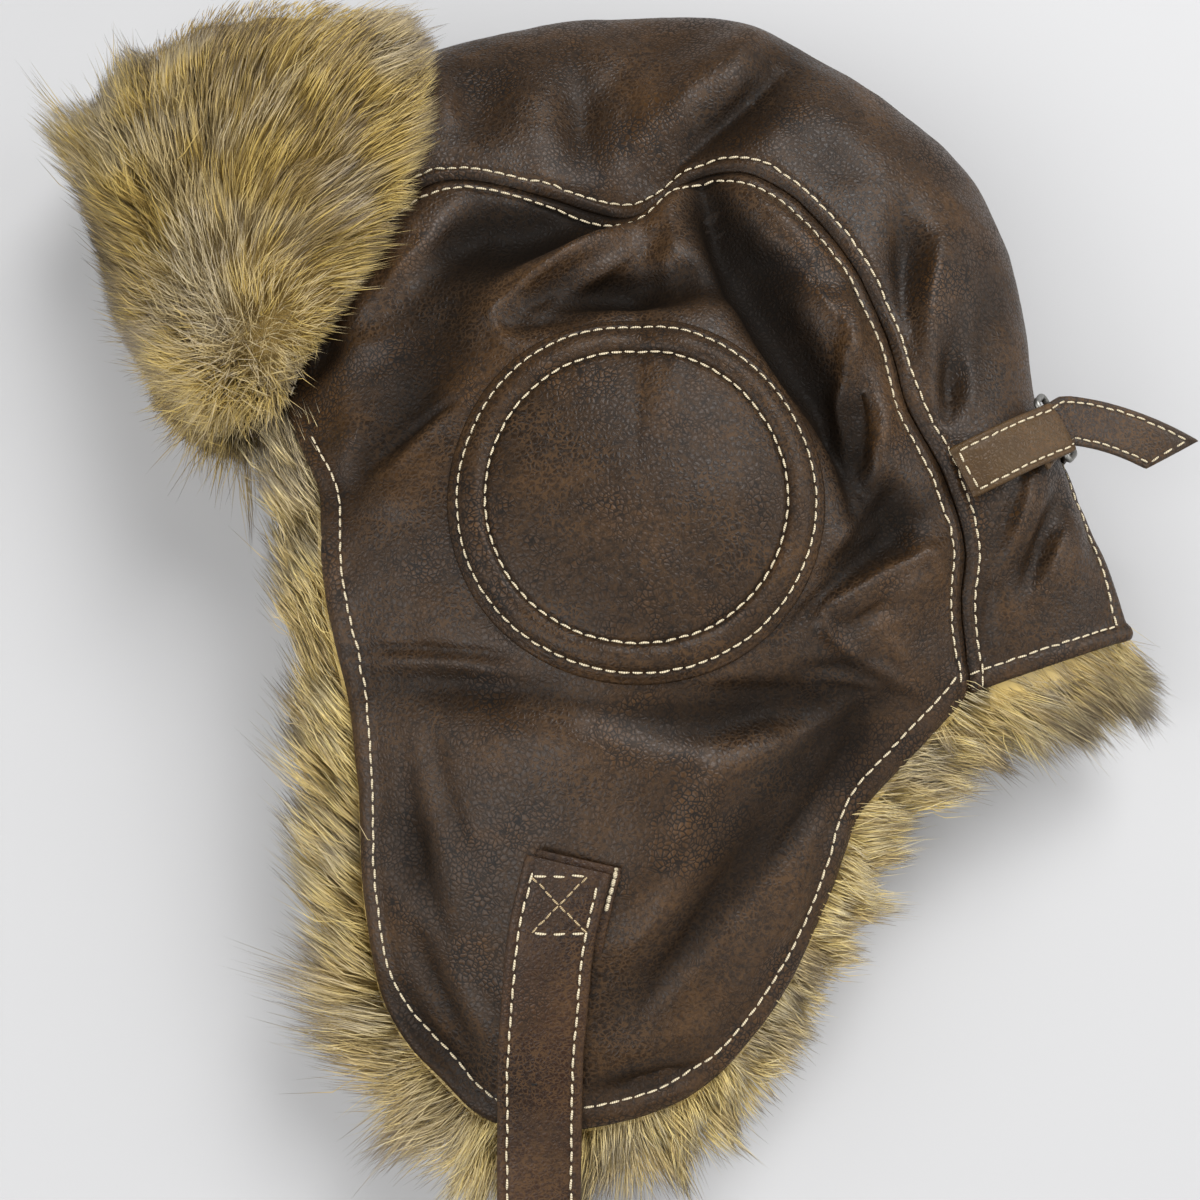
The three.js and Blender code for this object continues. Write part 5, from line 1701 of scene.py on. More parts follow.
@dataclass
class PeakFur(Part):
    """Deep fur on the peak, which fans out from its lower middle."""

    form: PeakForm
    strands: int = 51000
    brow_strands: int = 9000
    fur_gap: float = 1.2
    tongue: tuple[float, float] = (-158, 122)
    tail: tuple[float, float] = (-122, 34)
    whorl: tuple[float, float] = (-121, 57)

    outline = (
        (-71, 173), (-65, 160), (-63, 141), (-64, 127), (-70, 107), (-79, 90), (-92, 69), (-104, 53),
        (-109, 40), (-110, 29), (-119, 30), (-129, 35), (-141, 46), (-151, 56), (-159, 69), (-163, 80),
        (-165, 93), (-170, 104), (-177, 116), (-185, 127), (-190, 137), (-180, 138), (-168, 136),
        (-161, 137), (-165, 149), (-163, 157), (-154, 155), (-142, 163), (-133, 166), (-116, 168),
        (-99, 170), (-83, 171), (-71, 173),
    )
    parting = ((-156, 134), (-146, 115), (-138, 101), (-130, 85), (-124, 72), (-122, 60), (-124, 42))

    def kept(self, roots: Array, tips: Array, random: np.random.Generator) -> Array:
        """Share of each strand that stays within the fur's outline, but for a few wisps."""
        count = len(roots)
        allowed = random.uniform(0.0, 4.0, count)
        allowed = allowed + (random.uniform(0, 1, count) > 0.93) * random.uniform(0, 7, count)
        places = seen(roots)
        allowed = allowed * (1 + 0.6 * near(places, (-160, 128), 22.0) + 1.9 * near(places, self.tail, 14.0))
        from_root, from_tip = self.beyond(roots), self.beyond(tips)
        share = (allowed - from_root) / np.maximum(from_tip - from_root, 0.1)
        return np.where(from_tip > allowed, np.clip(share, 0.2, 1.0), 1.0)

    def beyond(self, points: Array) -> Array:
        """Distance past the outline as seen from above the cap, less than 0 inside it."""
        outline = np.array(self.outline, float)
        run = np.diff(outline, axis=0)
        off = seen(points)[:, None] - outline[None, :-1]
        share = np.clip((off * run).sum(axis=2) / np.square(run).sum(axis=1), 0, 1)
        distance = np.linalg.norm(off - share[..., None] * run, axis=2)
        best = distance.argmin(axis=1)
        rows = np.arange(len(points))
        turn = run[best, 0] * off[rows, best, 1] - run[best, 1] * off[rows, best, 0]
        return distance[rows, best] * np.sign(turn)

    def pad(self) -> Shell:
        """The dense undercoat, a little below the strands' outer form."""
        along, share = np.linspace(-1.02, 1.02, 97)[:, None], np.linspace(0.04, 1.02, 49)
        along, share = np.broadcast_arrays(along, share)
        base, facing = self.form.point(along, share), self.form.facing(along, share)
        tufts = 1.6 * soft_noise(base, 6.0, 61) + 0.8 * soft_noise(base, 2.5, 62)
        depth = self.fur_gap + 0.35 * self.form.pile(along, share)
        outer, inner = base + facing * (depth + 0.7 * tufts)[..., None], base + facing * self.fur_gap
        outer[..., 2] = np.maximum(outer[..., 2], 0.6)
        inner[..., 2] = np.maximum(inner[..., 2], 0.5)
        return closed_pad(outer, inner)

    def build(self) -> None:
        """Makes the undercoat and the strands, in two pieces."""
        self.pad().dress("peak_undercoat", self.finishes.fur, "fur", "peak_fur")
        random = np.random.default_rng(71)
        count = self.strands
        brow = np.arange(count) < self.brow_strands
        along = np.where(brow, random.uniform(-0.55, 0.75, count), random.uniform(-1.03, 1.03, count))
        share = np.where(brow, random.uniform(-0.01, 0.1, count), random.uniform(0.02, 1.05, count))
        facing = self.form.facing(along, share)
        depth = random.uniform(0.1, 0.85, count) * self.form.pile(along, share)
        roots = self.form.point(along, share) + facing * (self.fur_gap + depth)[:, None]
        places = seen(roots)
        parting = np.array(self.parting, float)
        from_parting, _ = CapForm.nearest_on_line(places[:, 0], places[:, 1], parting[:, 0], parting[:, 1])
        whorl = near(places, self.whorl, 20.0)
        ruffled = 0.25 * bell(from_parting, 9.0) + 1.2 * whorl
        level = unit(PEAK_COMB.direction(roots) + ruffled[:, None] * random.normal(0, 0.8, (count, 3)))
        grey = np.maximum(0.85 * bell(from_parting, 11.0), 0.9 * whorl)
        border = smoothstep(self.beyond(roots + level * 20.0), -9.0, 3.0) * (places[:, 0] < -112)
        lean = grey - border * (0.3 + 0.7 * random.uniform(0, 1, count)) * (1 - 0.7 * grey)
        level = unit(level - facing * np.minimum((level * facing).sum(axis=1, keepdims=True), 0))
        lift = random.uniform(0.0, 0.26, count) + (random.uniform(0, 1, count) > 0.93) * 0.25
        longer = 0.5 * near(places, self.tongue, 20.0) + 0.55 * near(places, self.tail, 13.0)
        scale = random.uniform(0.72, 1.0, count) * (1 + 0.25 * brow + longer - 0.2 * whorl)
        half = along > np.median(along)
        for word, chosen, seed in (("upper", half, 72), ("lower", ~half, 73)):
            parts = (values[chosen] for values in (roots, level, facing, lift, scale, lean))
            strands = Fur(seed).strands(*parts, limit=self.kept)
            strands.dress(f"peak_strands_{word}", self.finishes.fur, "fur")


def closed_pad(outer: Array, inner: Array, turned: bool = False) -> Shell:
    """Closes a pad between two grids of the same size, with v low for the roots' darker colour, painted
    shade of the deep pile.

    Args:
        outer: Grid whose outside is where column steps turn left of row steps.
        inner: The face behind it.
        turned: Whether the outside is the other way.

    Returns:
        The closed shell.
    """
    if turned:
        outer, inner = outer.swapaxes(0, 1), inner.swapaxes(0, 1)
    rows, columns = outer.shape[:2]
    shift = rows * columns
    upper = np.arange(shift).reshape(rows, columns)
    faces = Sheet.quads([upper]).tolist() + Sheet.quads([upper + shift])[:, ::-1].tolist()
    border = np.concatenate([upper[:-1, 0], upper[-1, :-1], upper[:0:-1, -1], upper[0, :0:-1]])
    following = np.roll(border, -1)
    faces += np.stack([following, border, border + shift, following + shift], axis=1).tolist()
    points = np.concatenate([outer.reshape(-1, 3), inner.reshape(-1, 3)])
    tone = 0.35 + 0.2 * soft_noise(points, 5.0, 63)
    return Shell(points, faces, {}, np.stack([tone, np.full(len(points), 0.16)], axis=1))


@dataclass
class LiningFur(Part):
    """Fur inside one side of the cap."""

    side: Side
    strands: int
    fur_gap: float = 1.2

    def sunk(self, points: Array) -> Array:
        """How far the left side's creases push the fur in at each place, less than 0."""
        if self.side is Side.RIGHT:
            return np.zeros(points.shape[:-1])
        return np.minimum(self.form.crease_height(points), 0)

    def make(self, place: str, pad: Shell, strands: Shell) -> None:
        """Makes the undercoat and the strands as two pieces."""
        word = self.side.word
        # the fringe finish is the fur's lighter copy, painted light on the shaded fringe and nape fur
        pad.dress(f"{place}_undercoat_{word}", self.finishes.fringe, "fur", f"{place}_fur_{word}")
        strands.dress(f"{place}_strands_{word}", self.finishes.fringe, "fur")


@dataclass
class FlapFur(LiningFur):
    """Fur inside the hem of a side panel, which stands out past it as a fringe."""

    slope_gap: float = 2.5
    depth: float = 34.0
    first_turn: float = 166.0
    last_turn: float = 334.0

    band = Table("out droop pile", [(-34, 0, 8), (-16, 0, 13), (0, 0.5, 14), (8, 2, 12), (14, 5, 5)])

    def skin(self, turn: Array, out: Array) -> Array:
        """Point of the fur's backing at a distance out of the hem."""
        reach, _ = self.form.edge(self.side, turn)
        point = self.form.panel(self.side, turn, np.minimum(1, 1 + out / reach))
        point = point + polar(turn, 1.0, 0.0) * np.maximum(out, 0)[..., None]
        inside = np.clip(-out / self.depth, 0, None)
        drop = self.side.value * (self.form.leather + self.fur_gap + self.slope_gap * inside)
        droop = np.minimum(self.band.read("droop", out), 99.0 if self.side is Side.LEFT else 3.5)
        point[..., 2] += self.sunk(point) - drop - droop
        return point

    def pad(self) -> Shell:
        """The dense undercoat under the hem."""
        out, turn = np.linspace(-self.depth, 1.0, 17)[:, None], np.linspace(170, 331, 161)
        out, turn = np.broadcast_arrays(out, turn)
        skin = self.skin(turn, out)
        tufts = 1.8 * soft_noise(skin, 6.5, 81) + 0.9 * soft_noise(skin, 2.6, 82)
        depth = np.clip(self.band.read("pile", out) * 0.85 + tufts, 2.0, None)
        return closed_pad(skin, skin - UP * self.side.value * depth[..., None], self.side is Side.RIGHT)

    def build(self) -> None:
        """Makes the undercoat and the strands."""
        random = np.random.default_rng(83)
        count = self.strands
        turn = self.even_turns(random, count)
        fringe = random.uniform(0, 1, count) < 0.86
        out = np.where(fringe, random.uniform(-9, 10, count), random.uniform(1 - self.depth, -2, count))
        depth = np.where(fringe, random.uniform(-0.05, 1.0, count), 1.0)
        roots = self.skin(turn, out)
        pile = np.clip(self.band.read("pile", out), 3, None) * depth
        roots = roots - UP * self.side.value * pile[:, None] * 0.85
        facing = unit(polar(turn, 1.0, 0.0) + UP * -self.side.value * (0.8 * depth)[:, None])
        lift = np.where(fringe, 0.12, 0.4) * random.uniform(0.2, 1.6, count)
        lower_front = bell(turn - 235.0, 26.0)
        scale = np.where(fringe, 0.95, 0.7) * random.uniform(0.75, 1.05, count)
        scale = scale * (0.92 + 0.28 * lower_front)
        scale = scale * (1 - 0.18 * smoothstep(turn, 262.0, 290.0) - 0.3 * bell(turn - 285.0, 14.0))
        phase = np.radians(turn * 52) + 1.4 * np.sin(np.radians(turn * 17))
        locks = polar(turn + 90, 1.0, 0.0) * (0.32 * np.cos(phase))[:, None]
        level = unit(HEM_COMB.direction(roots) - UP * 0.06 + locks)
        scale = scale * (1 + 0.17 * np.sin(phase))
        dark = random.uniform(0, 1, count) < 0.3 + 0.15 * np.sin(phase)
        lean = -1.0 * dark * smoothstep(out, -6.0, 6.0)
        strands = Fur(84 + self.side.value).strands(roots, level, facing, lift, scale, lean)
        self.make("flap", self.pad(), strands)

    def even_turns(self, random: np.random.Generator, count: int) -> Array:
        """Turns spread so that roots lie evenly along the hem's real length."""
        fine = np.linspace(self.first_turn, self.last_turn, 400)
        run = path_run(polar(fine, *self.form.edge(self.side, fine)))
        return np.interp(random.uniform(0, run[-1], count), run, fine)


@dataclass
class NapeFur(LiningFur):
    """Fur inside a lobe of the nape."""

    def skin(self, turn: Array, share: Array) -> tuple[Array, Array]:
        """Points of the fur's backing and the outward directions there."""
        form = self.form
        on_panel = np.maximum(turn, form.seam_start)
        down = lerp(0.08, 1 - form.notch(on_panel) - 0.04, share)
        facing = form.crown_facing(self.side, on_panel, down)
        point = form.crown(self.side, on_panel, down) - facing * (form.leather + self.fur_gap)
        point += facing * self.sunk(point)[..., None]
        first = np.full(turn.shape, form.seam_start)
        along = unit(form.crown(self.side, first, down) - form.crown(self.side, first + 5, down))
        return point + along * ((on_panel - turn) * 1.1)[..., None], facing

    def build(self) -> None:
        """Makes the undercoat and the strands."""
        share, turn = np.broadcast_arrays(np.linspace(0, 1, 33)[:, None], np.linspace(-34, -6, 33))
        skin, facing = self.skin(turn, share)
        other = skin - facing * (7.5 + 1.5 * soft_noise(skin, 6.0, 91))[..., None]
        pad = closed_pad(skin, other, self.side is Side.RIGHT)
        random = np.random.default_rng(92)
        count = self.strands
        share, turn = random.uniform(-0.2, 1.0, count), random.uniform(-35, -22, count)
        roots, facing = self.skin(turn, share)
        roots = roots - facing * (random.uniform(0, 1, count) * 8)[:, None]
        level = HEM_COMB.direction(roots) - UP * 0.06
        scale = random.uniform(0.75, 1.0, count)
        lean = -1.0 * (random.uniform(0, 1, count) > 0.75)
        strands = Fur(93 + self.side.value).strands(roots, level, -facing, np.zeros(count), scale, lean)
        self.make("nape", pad, strands)


@dataclass
class Strap:
    """A flat sewn strap along a path, with rounded edges and sunk stitch rows."""

    width: float
    thickness: float
    inset: float
    step: float = 1.8
    slant: float = 0.0

    def section(self) -> Array:
        """Outline of the strap across its run, as widths and heights."""
        half, radius = self.width / 2, self.thickness / 2
        flat = np.linspace(-(half - radius), half - radius, 25)
        sunk = 0.28 * bell(np.abs(flat) - (half - self.inset), 0.75)
        top = np.stack([flat, radius + 0.18 * (1 - (flat / half) ** 2) - sunk], axis=1)
        angles = np.radians([60, 30, 0, -30, -60])
        right = np.stack([half - radius + radius * np.cos(angles), radius * np.sin(angles)], axis=1)
        return np.concatenate([top, right, (top * [1, -1])[::-1], right[::-1] * [-1, 1]])

    def stations(self, path: Array, across: Array) -> tuple[Array, Array, Array, Array, Array]:
        """Smooths a path into close stations.

        Args:
            path: The path's points.
            across: The way the width runs at each, or at all of them.

        Returns:
            Places, directions along, across and outward, and the slanted end's push at each station.
        """
        run = path_run(path)
        count = max(int(run[-1] / self.step), 8)
        at = np.linspace(0, run[-1], count + 1)
        across = np.broadcast_to(unit(across), path.shape)
        table = Table("run x y z a b c", np.column_stack([run, path, across]))
        middle = np.stack([table.read(name, at) for name in "xyz"], axis=1)
        wide = np.stack([table.read(name, at) for name in "abc"], axis=1)
        along = unit(np.gradient(middle, axis=0))
        wide = unit(wide - along * (wide * along).sum(axis=1, keepdims=True))
        end = count * self.step
        cut = self.slant * smoothstep(np.arange(count + 1) * self.step, end - 11, end)
        return middle, along, wide, np.cross(wide, along), cut / (self.width / 2)

    def sweep(self, path: Array, across: Array) -> Shell:
        """Makes the strap as a closed shell."""
        middle, along, wide, outward, cut = self.stations(path, across)
        section = self.section()
        count, sides = len(middle), len(section)
        ends = np.minimum(np.arange(count), count - 1 - np.arange(count)) * self.step
        rounding = np.sqrt(np.clip(1 - (1 - np.clip(ends / 1.2, 0, 1)) ** 2, 0.12, 1))[:, None]
        widths = (section[:, 0] * (1 - (1 - rounding) * 0.04))[..., None]
        heights = (section[:, 1] * rounding)[..., None]
        pushes = (section[:, 0] * cut[:, None])[..., None]
        middle, along, wide, outward = (values[:, None] for values in (middle, along, wide, outward))
        points = middle + wide * widths + outward * heights + along * pushes
        points = points + outward * (0.22 * soft_noise(points, 9.0, 101))[..., None]
        points[..., 2] = np.maximum(points[..., 2], 0.05)
        first = np.arange(sides)
        belt = np.stack([first, np.roll(first, -1), np.roll(first, -1) + sides, first + sides], axis=1)
        faces = [face for i in range(count - 1) for face in (belt + i * sides).tolist()]
        faces += [first[::-1].tolist(), (first + (count - 1) * sides).tolist()]
        off_middle = np.abs(section[:, 0])
        wear = np.tile(0.55 * smoothstep(off_middle / (self.width / 2), 0.82, 0.98), count)
        # painted shade along the sunk stitch rows
        groove = np.tile(0.35 * bell(off_middle - (self.width / 2 - self.inset), 0.5), count)
        return outward_shell(Shell(points.reshape(-1, 3), faces, {"wear": wear, "groove": groove}))

    def threads(self, path: Array, across: Array, face: float) -> list[Array]:
        """The stitch row along each edge, on the face that is 1 or -1."""
        middle, along, wide, outward, cut = self.stations(path, across)
        rise = outward * (face * self.thickness / 2)
        rows = [edge * (self.width / 2 - self.inset) for edge in (-1, 1)]
        return [(middle + wide * row + rise + along * (cut * row)[:, None])[2:-2] for row in rows]

    def make(self, name: str, node: str, material: Material, path: Array, across: Array) -> Shell:
        """Makes the strap as a piece."""
        shell = self.sweep(path, across)
        shell.dress(name, material, "strap_leather", node, smooth_angle=50)
        return shell


def outward_shell(shell: Shell) -> Shell:
    """Turns every face of a closed shell round if the shell is inside out."""
    fans = [(face[0], face[i], face[i + 1]) for face in shell.faces for i in range(1, len(face) - 1)]
    a, b, c = (shell.points[list(corner)] for corner in zip(*fans))
    if (a * np.cross(b, c)).sum() < 0:
        shell.faces = [face[::-1] for face in shell.faces]
    return shell


@dataclass
class ChinStrap(Part):
    """The chin strap's two halves, which meet at a hidden clasp, its sewn end and its tab."""

    width: float = 23.5
    thickness: float = 2.4
    turn_radius: float = 11.0
    tab_thickness: float = 1.6
    start_y: float = -99.5
    turn_y: float = -256.0
    buckle_y: float = -226.0
    box: float = 15.0
    hole: tuple[float, float] = (-28.0, -157.5)

    plan = Table("y x", [
        (-265, -27), (-190, -27), (-152, -26.3), (-138, -25.1), (-119, -23.1), (-99, -18.3),
    ])
    fall = Table("y height", [(-256, 23.4), (-240, 29), (-215, 40), (-192, 48)])

    @property
    def lift(self) -> float:
        """Height of the strap's middle above the flap."""
        return 2 * CLEARANCE + self.tab_thickness + self.thickness / 2 + 0.5

    @property
    def floor_run(self) -> float:
        """Height of the strap's middle where it runs back along the floor."""
        return self.thickness / 2 + 1.8

    def under(self, y: Array) -> Array:
        """Highest place of the flap across the strap's width."""
        x = self.plan.read("x", y) + np.linspace(-0.5, 0.5, 5)[:, None] * self.width
        return self.form.panel_height(x, np.broadcast_to(y, x.shape)).max(axis=0)

    def at(self, ys: Array, heights: Any) -> Array:
        """Places on the strap's middle line."""
        return np.stack(np.broadcast_arrays(self.plan.read("x", ys), ys, heights), axis=1)

    def left_path(self) -> Array:
        """Path from the sewn end over the flap, down to the floor and back to the clasp."""
        on_flap = np.linspace(self.start_y, -166, 24)
        falling = np.linspace(-178, self.turn_y, 20)
        angle = np.radians(np.linspace(65, -90, 16))
        bend = np.zeros((16, 3)) + self.at(np.array([self.turn_y]), 0.0)
        bend[:, 1] -= 6 + self.turn_radius * np.cos(angle)
        bend[:, 2] = self.floor_run + self.turn_radius + self.turn_radius * np.sin(angle)
        back = np.linspace(-252, self.buckle_y - CLEARANCE, 6)[1:]
        flap_run = self.at(on_flap, self.under(on_flap) + self.lift)
        drop = self.at(falling, self.fall.read("height", falling))
        return np.concatenate([flap_run, drop, bend, self.at(back, self.floor_run)])

    def right_path(self) -> Array:
        """Path from the clasp along the floor to its sewn end under the other flap."""
        ys = np.linspace(self.buckle_y + CLEARANCE, self.start_y, 40)
        return self.at(ys, lerp(self.thickness / 2, self.floor_run, smoothstep(-ys, 180, 215)))

    def build(self) -> None:
        """Makes the straps, the tab, the stitches and the painted shade of the hole."""
        strap = Strap(self.width, self.thickness, 2.9)
        leather, thread = self.finishes.leather["strap"], self.finishes.thread
        x = float(self.plan.read("x", -109.0)) + np.array([-0.5, 0.5]) * self.box
        y = -102.5 - np.array([0.0, self.box])
        box_rows = [self.line(x[[1, 0]], y[[0, 0]]), self.line(x[[0, 1]], y[[1, 1]])]
        cross_rows = [self.line(x, y), self.line(x[::-1], y)]
        path = self.left_path()
        shell = strap.make("chin_band_left", "chin_strap_left", leather, path, ACROSS)
        rows = strap.threads(path, ACROSS, -1.0) + box_rows
        sewing = Stitcher(pitch=4.1, length=3.3, radius=0.36, seed=111)
        sewing.sew(rows, shell, "chin_thread_left", thread, "strap_leather")
        sewing = Stitcher(pitch=2.6, length=2.3, radius=0.3, seed=112)
        sewing.sew(cross_rows, shell, "chin_cross_thread", self.finishes.dark_thread, "strap_leather")
        self.build_hole_shade()
        path = self.right_path()
        shell = strap.make("chin_band_right", "chin_strap_right", leather, path, ACROSS)
        sewing = Stitcher(pitch=4.1, length=3.3, radius=0.4, lift=-0.1, seed=113)
        sewing.sew(strap.threads(path, ACROSS, 1.0), shell, "chin_thread_right", thread, "strap_leather")
        self.build_tab()

    def line(self, x: Array, y: Array) -> Array:
        """Straight run in plan between two places, held above the strap."""
        share = np.linspace(0, 1, 20)
        xs, ys = lerp(x[0], x[1], share), lerp(y[0], y[1], share)
        return np.stack([xs, ys, self.under(ys) + self.lift + self.thickness / 2], axis=1)

    def build_tab(self) -> None:
        """Makes the second layer of leather under the sewn end, with its bar of thick thread."""
        ys = np.linspace(-98, -122, 12)
        path = self.at(ys, self.under(ys) + CLEARANCE + 0.4 + self.tab_thickness / 2) + 2.5 * ACROSS
        strap = Strap(self.width, self.tab_thickness, 2.0)
        shell = strap.make("chin_layer_left", "chin_tab_left", self.finishes.leather["strap"], path, ACROSS)
        ys = np.linspace(-99, -112, 20)
        edge = self.at(ys, self.under(ys) + self.tab_thickness + 1.5) + (self.width / 2 + 1.3) * ACROSS
        sewing = Stitcher(pitch=2.1, length=2.4, radius=0.62, seed=114)
        sewing.sew([edge], shell, "chin_bar_thread", self.finishes.thread, "strap_leather")

    def build_hole_shade(self) -> None:
        """Makes a near-black disc on the strap, painted shade that stands for the small hole punched in it.
        """
        x, y = self.hole
        height = float(self.under(np.array([y]))[0]) + self.lift + self.thickness / 2
        shape = bpy.ops.mesh.primitive_cylinder_add
        hole = primitive("chin_hole_painted_shade", shape, vertices=24, radius=0.9 * MM, depth=0.5 * MM)
        hole.data.transform(Matrix.Translation(Vector((x, y, height)) * MM))
        dress(hole, self.finishes.leather["hole"])


@dataclass
class BackStrap(Part):
    """The adjusting strap at the back: a folded part that holds a ring, and a part through it."""

    width: float = 16.0
    thickness: float = 1.8
    ring_wire: float = 2.0
    ring_turn: float = 9.5
    ring_down: float = 0.6
    strap_turn: float = 6.5
    tail_length: float = 37.0

    @property
    def layer(self) -> float:
        """Height of the under layer's middle above the crown."""
        return 2 * CLEARANCE + 0.4 + self.thickness / 2

    @property
    def bend_radius(self) -> float:
        """Radius of a strap's middle where it folds round the ring."""
        return self.ring_wire * math.sqrt(0.5) + CLEARANCE + 0.15 + self.thickness / 2

    @property
    def bar_spacing(self) -> float:
        """Distance between the ring's two long bars."""
        return 2 * self.bend_radius + self.thickness + CLEARANCE

    def crown_point(self, turn: float, down: float) -> Array:
        """One point of the crown's upper half."""
        return self.form.crown(Side.LEFT, np.array([turn]), np.array([down]))[0]

    def frame(self) -> tuple[Array, Array, Array, Array]:
        """The ring's middle and its directions along the straps, across them and outward."""
        turn, down = self.ring_turn, self.ring_down
        outward = self.form.crown_facing(Side.LEFT, np.array([turn]), np.array([down]))[0]
        ahead = self.crown_point(turn, down + 0.05) - self.crown_point(turn - 2, down - 0.15)
        along = unit(ahead - outward * ahead.dot(outward))
        middle = self.crown_point(turn, down) + outward * (self.layer + self.bend_radius)
        return middle, along, unit(np.cross(outward, along)), outward

    def hairpin(self, heading: float) -> Array:
        """Fold of a strap round one bar: heading 1 opens to the back, -1 to the seam."""
        middle, along, _, outward = self.frame()
        bar = middle + along * (heading * self.bar_spacing / 2)
        angle = np.radians(np.linspace(-90, 90, 17))[:, None]
        return bar + self.bend_radius * (-heading * np.cos(angle) * along + np.sin(angle) * outward)

    def over_crown(self, side: Side, downs: Array, height: float) -> tuple[Array, Array]:
        """Points of a strap above the crown, and the way its width runs."""
        turns = lerp(self.strap_turn, self.ring_turn, np.minimum(downs / self.ring_down, 1))
        points = self.form.crown(side, turns, downs) + height * self.form.crown_facing(side, turns, downs)
        across = self.form.crown(side, turns + 2, downs) - self.form.crown(side, turns - 2, downs)
        return points, unit(across)

    def left_path(self) -> tuple[Array, Array]:
        """The folded part, from its hidden end round the ring to the seam."""
        middle, along, across, outward = self.frame()
        folded = middle - along * (self.bar_spacing / 2 + 11) - outward * self.bend_radius
        bend = self.hairpin(-1)
        height = self.layer + self.thickness + 2 * CLEARANCE
        top, top_across = self.over_crown(Side.LEFT, np.linspace(0.34, 0.05, 9), height)
        path = np.concatenate([folded[None], bend, top])
        return path, np.concatenate([np.tile(across, (1 + len(bend), 1)), top_across])

    def right_path(self) -> tuple[Array, Array]:
        """The part from the other seam, through the ring, with its free end."""
        _, _, across, _ = self.frame()
        under, under_across = self.over_crown(Side.RIGHT, np.linspace(0.05, 0.95, 16), self.layer)
        near, near_across = self.over_crown(Side.LEFT, np.array([0.96, 0.86, 0.77]), self.layer)
        bend = self.hairpin(1)
        aim = unit(np.array([0.93, 0.06, -0.36]))
        share = np.linspace(0, 1, 9)[1:, None]
        tail = bend[-1] + aim * (share * self.tail_length) + np.array([0.0, -10.0, 4.0]) * share**2
        rest = np.tile(across, (len(bend) + len(tail), 1))
        return np.concatenate([under, near, bend, tail]), np.concatenate([under_across, near_across, rest])

    def build(self) -> None:
        """Makes both parts, their stitches and the ring."""
        left = Strap(self.width, self.thickness, 1.9, step=1.0)
        right = Strap(self.width - 1, self.thickness, 1.9, step=1.0, slant=5.0)
        for word, strap, (path, across), colour, faces, seed in (
            ("left", left, self.left_path(), "olive", (1.0,), 121),
            ("right", right, self.right_path(), "grey", (1.0, -1.0), 122),
        ):
            leather = self.finishes.leather[colour]
            shell = strap.make(f"back_band_{word}", f"back_strap_{word}", leather, path, across)
            rows = [line for face in faces for line in strap.threads(path, across, face)]
            rows += [np.linspace(first[-1], second[-1], 12) for first, second in zip(rows[::2], rows[1::2])]
            sewing = Stitcher(pitch=3.4, length=2.8, radius=0.33, seed=seed)
            sewing.sew(rows, shell, f"back_thread_{word}", self.finishes.thread, "strap_leather")
        self.build_ring()

    def build_ring(self) -> None:
        """Makes the ring from a plane whose outline becomes a round wire."""
        middle, along, across, outward = self.frame()
        ring = primitive("back_wire_ring", bpy.ops.mesh.primitive_plane_add, size=1.0)
        bpy.ops.object.mode_set(mode="EDIT")
        bpy.ops.mesh.select_all(action="SELECT")
        size = (self.bar_spacing * MM, (self.width + 2 + self.ring_wire) * MM, 1.0)
        bpy.ops.transform.resize(value=size)
        bpy.ops.mesh.bevel(offset=1.7 * MM, segments=6, affect="VERTICES")
        bpy.ops.mesh.delete(type="ONLY_FACE")
        bpy.ops.object.mode_set(mode="OBJECT")
        bpy.ops.object.convert(target="CURVE")
        ring.data.bevel_depth = self.ring_wire / 2 * MM
        ring.data.bevel_resolution = 4
        bpy.ops.object.convert(target="MESH")
        basis = Matrix((along, across, outward)).transposed().to_4x4()
        ring.data.transform(Matrix.Translation(Vector(middle * MM)) @ basis)
        ring.data.shade_smooth()
        dress(ring, self.finishes.metal, "back_ring")


@dataclass
class ChinClasp(Part):
    """The plain sleeve that joins the chin strap's halves, out of the photographed view."""

    strap: ChinStrap
    length: float = 15.0
    wall: float = 1.3

    def build(self) -> None:
        """Makes the sleeve from a cube: its ends are inset and joined by a hole, and its edges rounded."""
        width, height = self.strap.width + 6, self.strap.thickness + 3.2
        sleeve = primitive("chin_clasp", bpy.ops.mesh.primitive_cube_add, size=1.0)
        bpy.ops.object.mode_set(mode="EDIT")
        bpy.ops.mesh.select_all(action="SELECT")
        bpy.ops.transform.resize(value=(width * MM, self.length * MM, height * MM))
        bpy.ops.mesh.select_all(action="DESELECT")
        mesh = bmesh.from_edit_mesh(sleeve.data)
        for face in mesh.faces:
            face.select = abs(face.normal.y) > 0.9
        bmesh.update_edit_mesh(sleeve.data)
        bpy.ops.mesh.inset(thickness=self.wall * MM, use_individual=True)
        bpy.ops.mesh.bridge_edge_loops()
        bpy.ops.object.mode_set(mode="OBJECT")
        rounded = sleeve.modifiers.new("rounded", "BEVEL")
        rounded.width = 0.5 * MM
        rounded.segments = 3
        select_only(sleeve)
        bpy.ops.object.modifier_apply(modifier="rounded")
        bpy.ops.object.shade_smooth_by_angle(angle=math.radians(40))
        x = float(self.strap.plan.read("x", self.strap.buckle_y))
        place = Vector((x, self.strap.buckle_y, self.strap.floor_run)) * MM
        sleeve.data.transform(Matrix.Translation(place))
        dress(sleeve, self.finishes.metal, "chin_buckle")


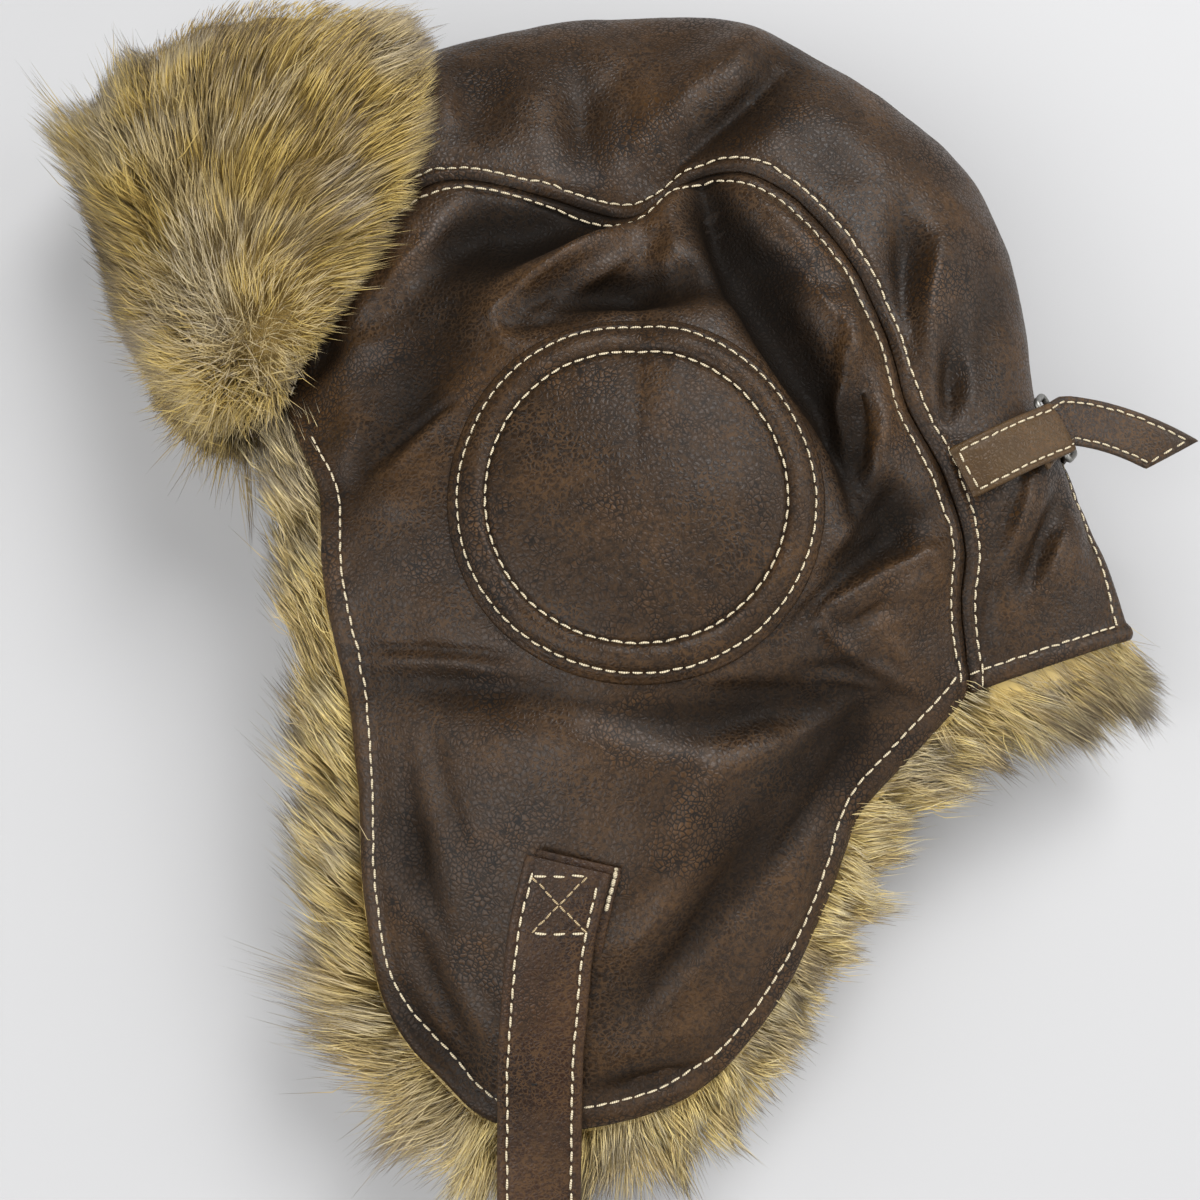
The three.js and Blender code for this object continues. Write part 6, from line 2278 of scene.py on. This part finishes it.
@dataclass
class Studio:
    """Plain pale floor, soft lights and the camera at the photograph's angle."""

    finishes: Finishes
    tilt: float = 12.0
    field_of_view: float = 45.0
    place: tuple[float, float, float] = (-10.0, -110.826, 478.725)

    lights = (
        ("window", (0.42, 0.76, 1.22), 0.75, 20.0),
        ("ceiling", (-0.6, -0.65, 1.25), 1.2, 18.0),
        ("side_window", (-1.1, -0.2, 0.8), 0.9, 6.0),
        ("far_wall", (1.0, -1.0, 0.9), 1.0, 6.0),
        ("right_wall", (1.15, 0.15, 0.75), 0.9, 9.0),
    )

    def build(self) -> None:
        """Makes the floor, the lights, the world and the camera."""
        floor = primitive("floor", bpy.ops.mesh.primitive_plane_add, size=6.0)
        floor.data.transform(Matrix.Translation((0, 0, -0.1 * MM)))
        floor.data.materials.append(self.finishes.floor)
        for name, place, size, power in self.lights:
            self.light(name, place, size, power)
        bpy.context.scene.view_settings.view_transform = "Standard"
        world = bpy.data.worlds.new("pale_world")
        world.use_nodes = True
        world.node_tree.nodes["Background"].inputs["Color"].default_value = (0.97, 0.98, 1.0, 1.0)
        world.node_tree.nodes["Background"].inputs["Strength"].default_value = 0.06
        bpy.context.scene.world = world
        camera_data = bpy.data.cameras.new("camera")
        camera_data.sensor_width = 36.0
        camera_data.lens = 18.0 / math.tan(math.radians(self.field_of_view / 2))
        camera = bpy.data.objects.new("camera", camera_data)
        camera.location = Vector(self.place) * MM
        camera.rotation_euler = (math.radians(self.tilt), 0.0, 0.0)
        bpy.context.scene.collection.objects.link(camera)
        bpy.context.scene.camera = camera

    @staticmethod
    def light(name: str, place: tuple[float, float, float], size: float, power: float) -> None:
        """Adds a soft square light that faces the cap."""
        data = bpy.data.lights.new(name, "AREA")
        data.shape = "SQUARE"
        data.size = size
        data.energy = power
        lamp = bpy.data.objects.new(name, data)
        lamp.location = place
        lamp.rotation_euler = (Vector(place) * -1).to_track_quat("-Z", "Y").to_euler()
        bpy.context.scene.collection.objects.link(lamp)


def main() -> None:
    """Builds the studio and every part of the cap in order."""
    logging.basicConfig(level=logging.INFO, format="%(message)s")
    finishes = Finishes()
    Studio(finishes).build()
    form = CapForm()
    peak = PeakForm(form)
    SidePanels(form, finishes).build()
    CentrePanel(form, finishes).build()
    SeamTape(form, finishes).build()
    EarPatches(form, finishes).build()
    Peak(peak, finishes).build()
    chin = ChinStrap(form, finishes)
    chin.build()
    ChinClasp(form, finishes, chin).build()
    BackStrap(form, finishes).build()
    PeakFur(peak, finishes).build()
    FlapFur(form, finishes, Side.LEFT, 28000).build()
    FlapFur(form, finishes, Side.RIGHT, 6000).build()
    NapeFur(form, finishes, Side.LEFT, 7000).build()
    NapeFur(form, finishes, Side.RIGHT, 2500).build()


if __name__ == "__main__":
    main()
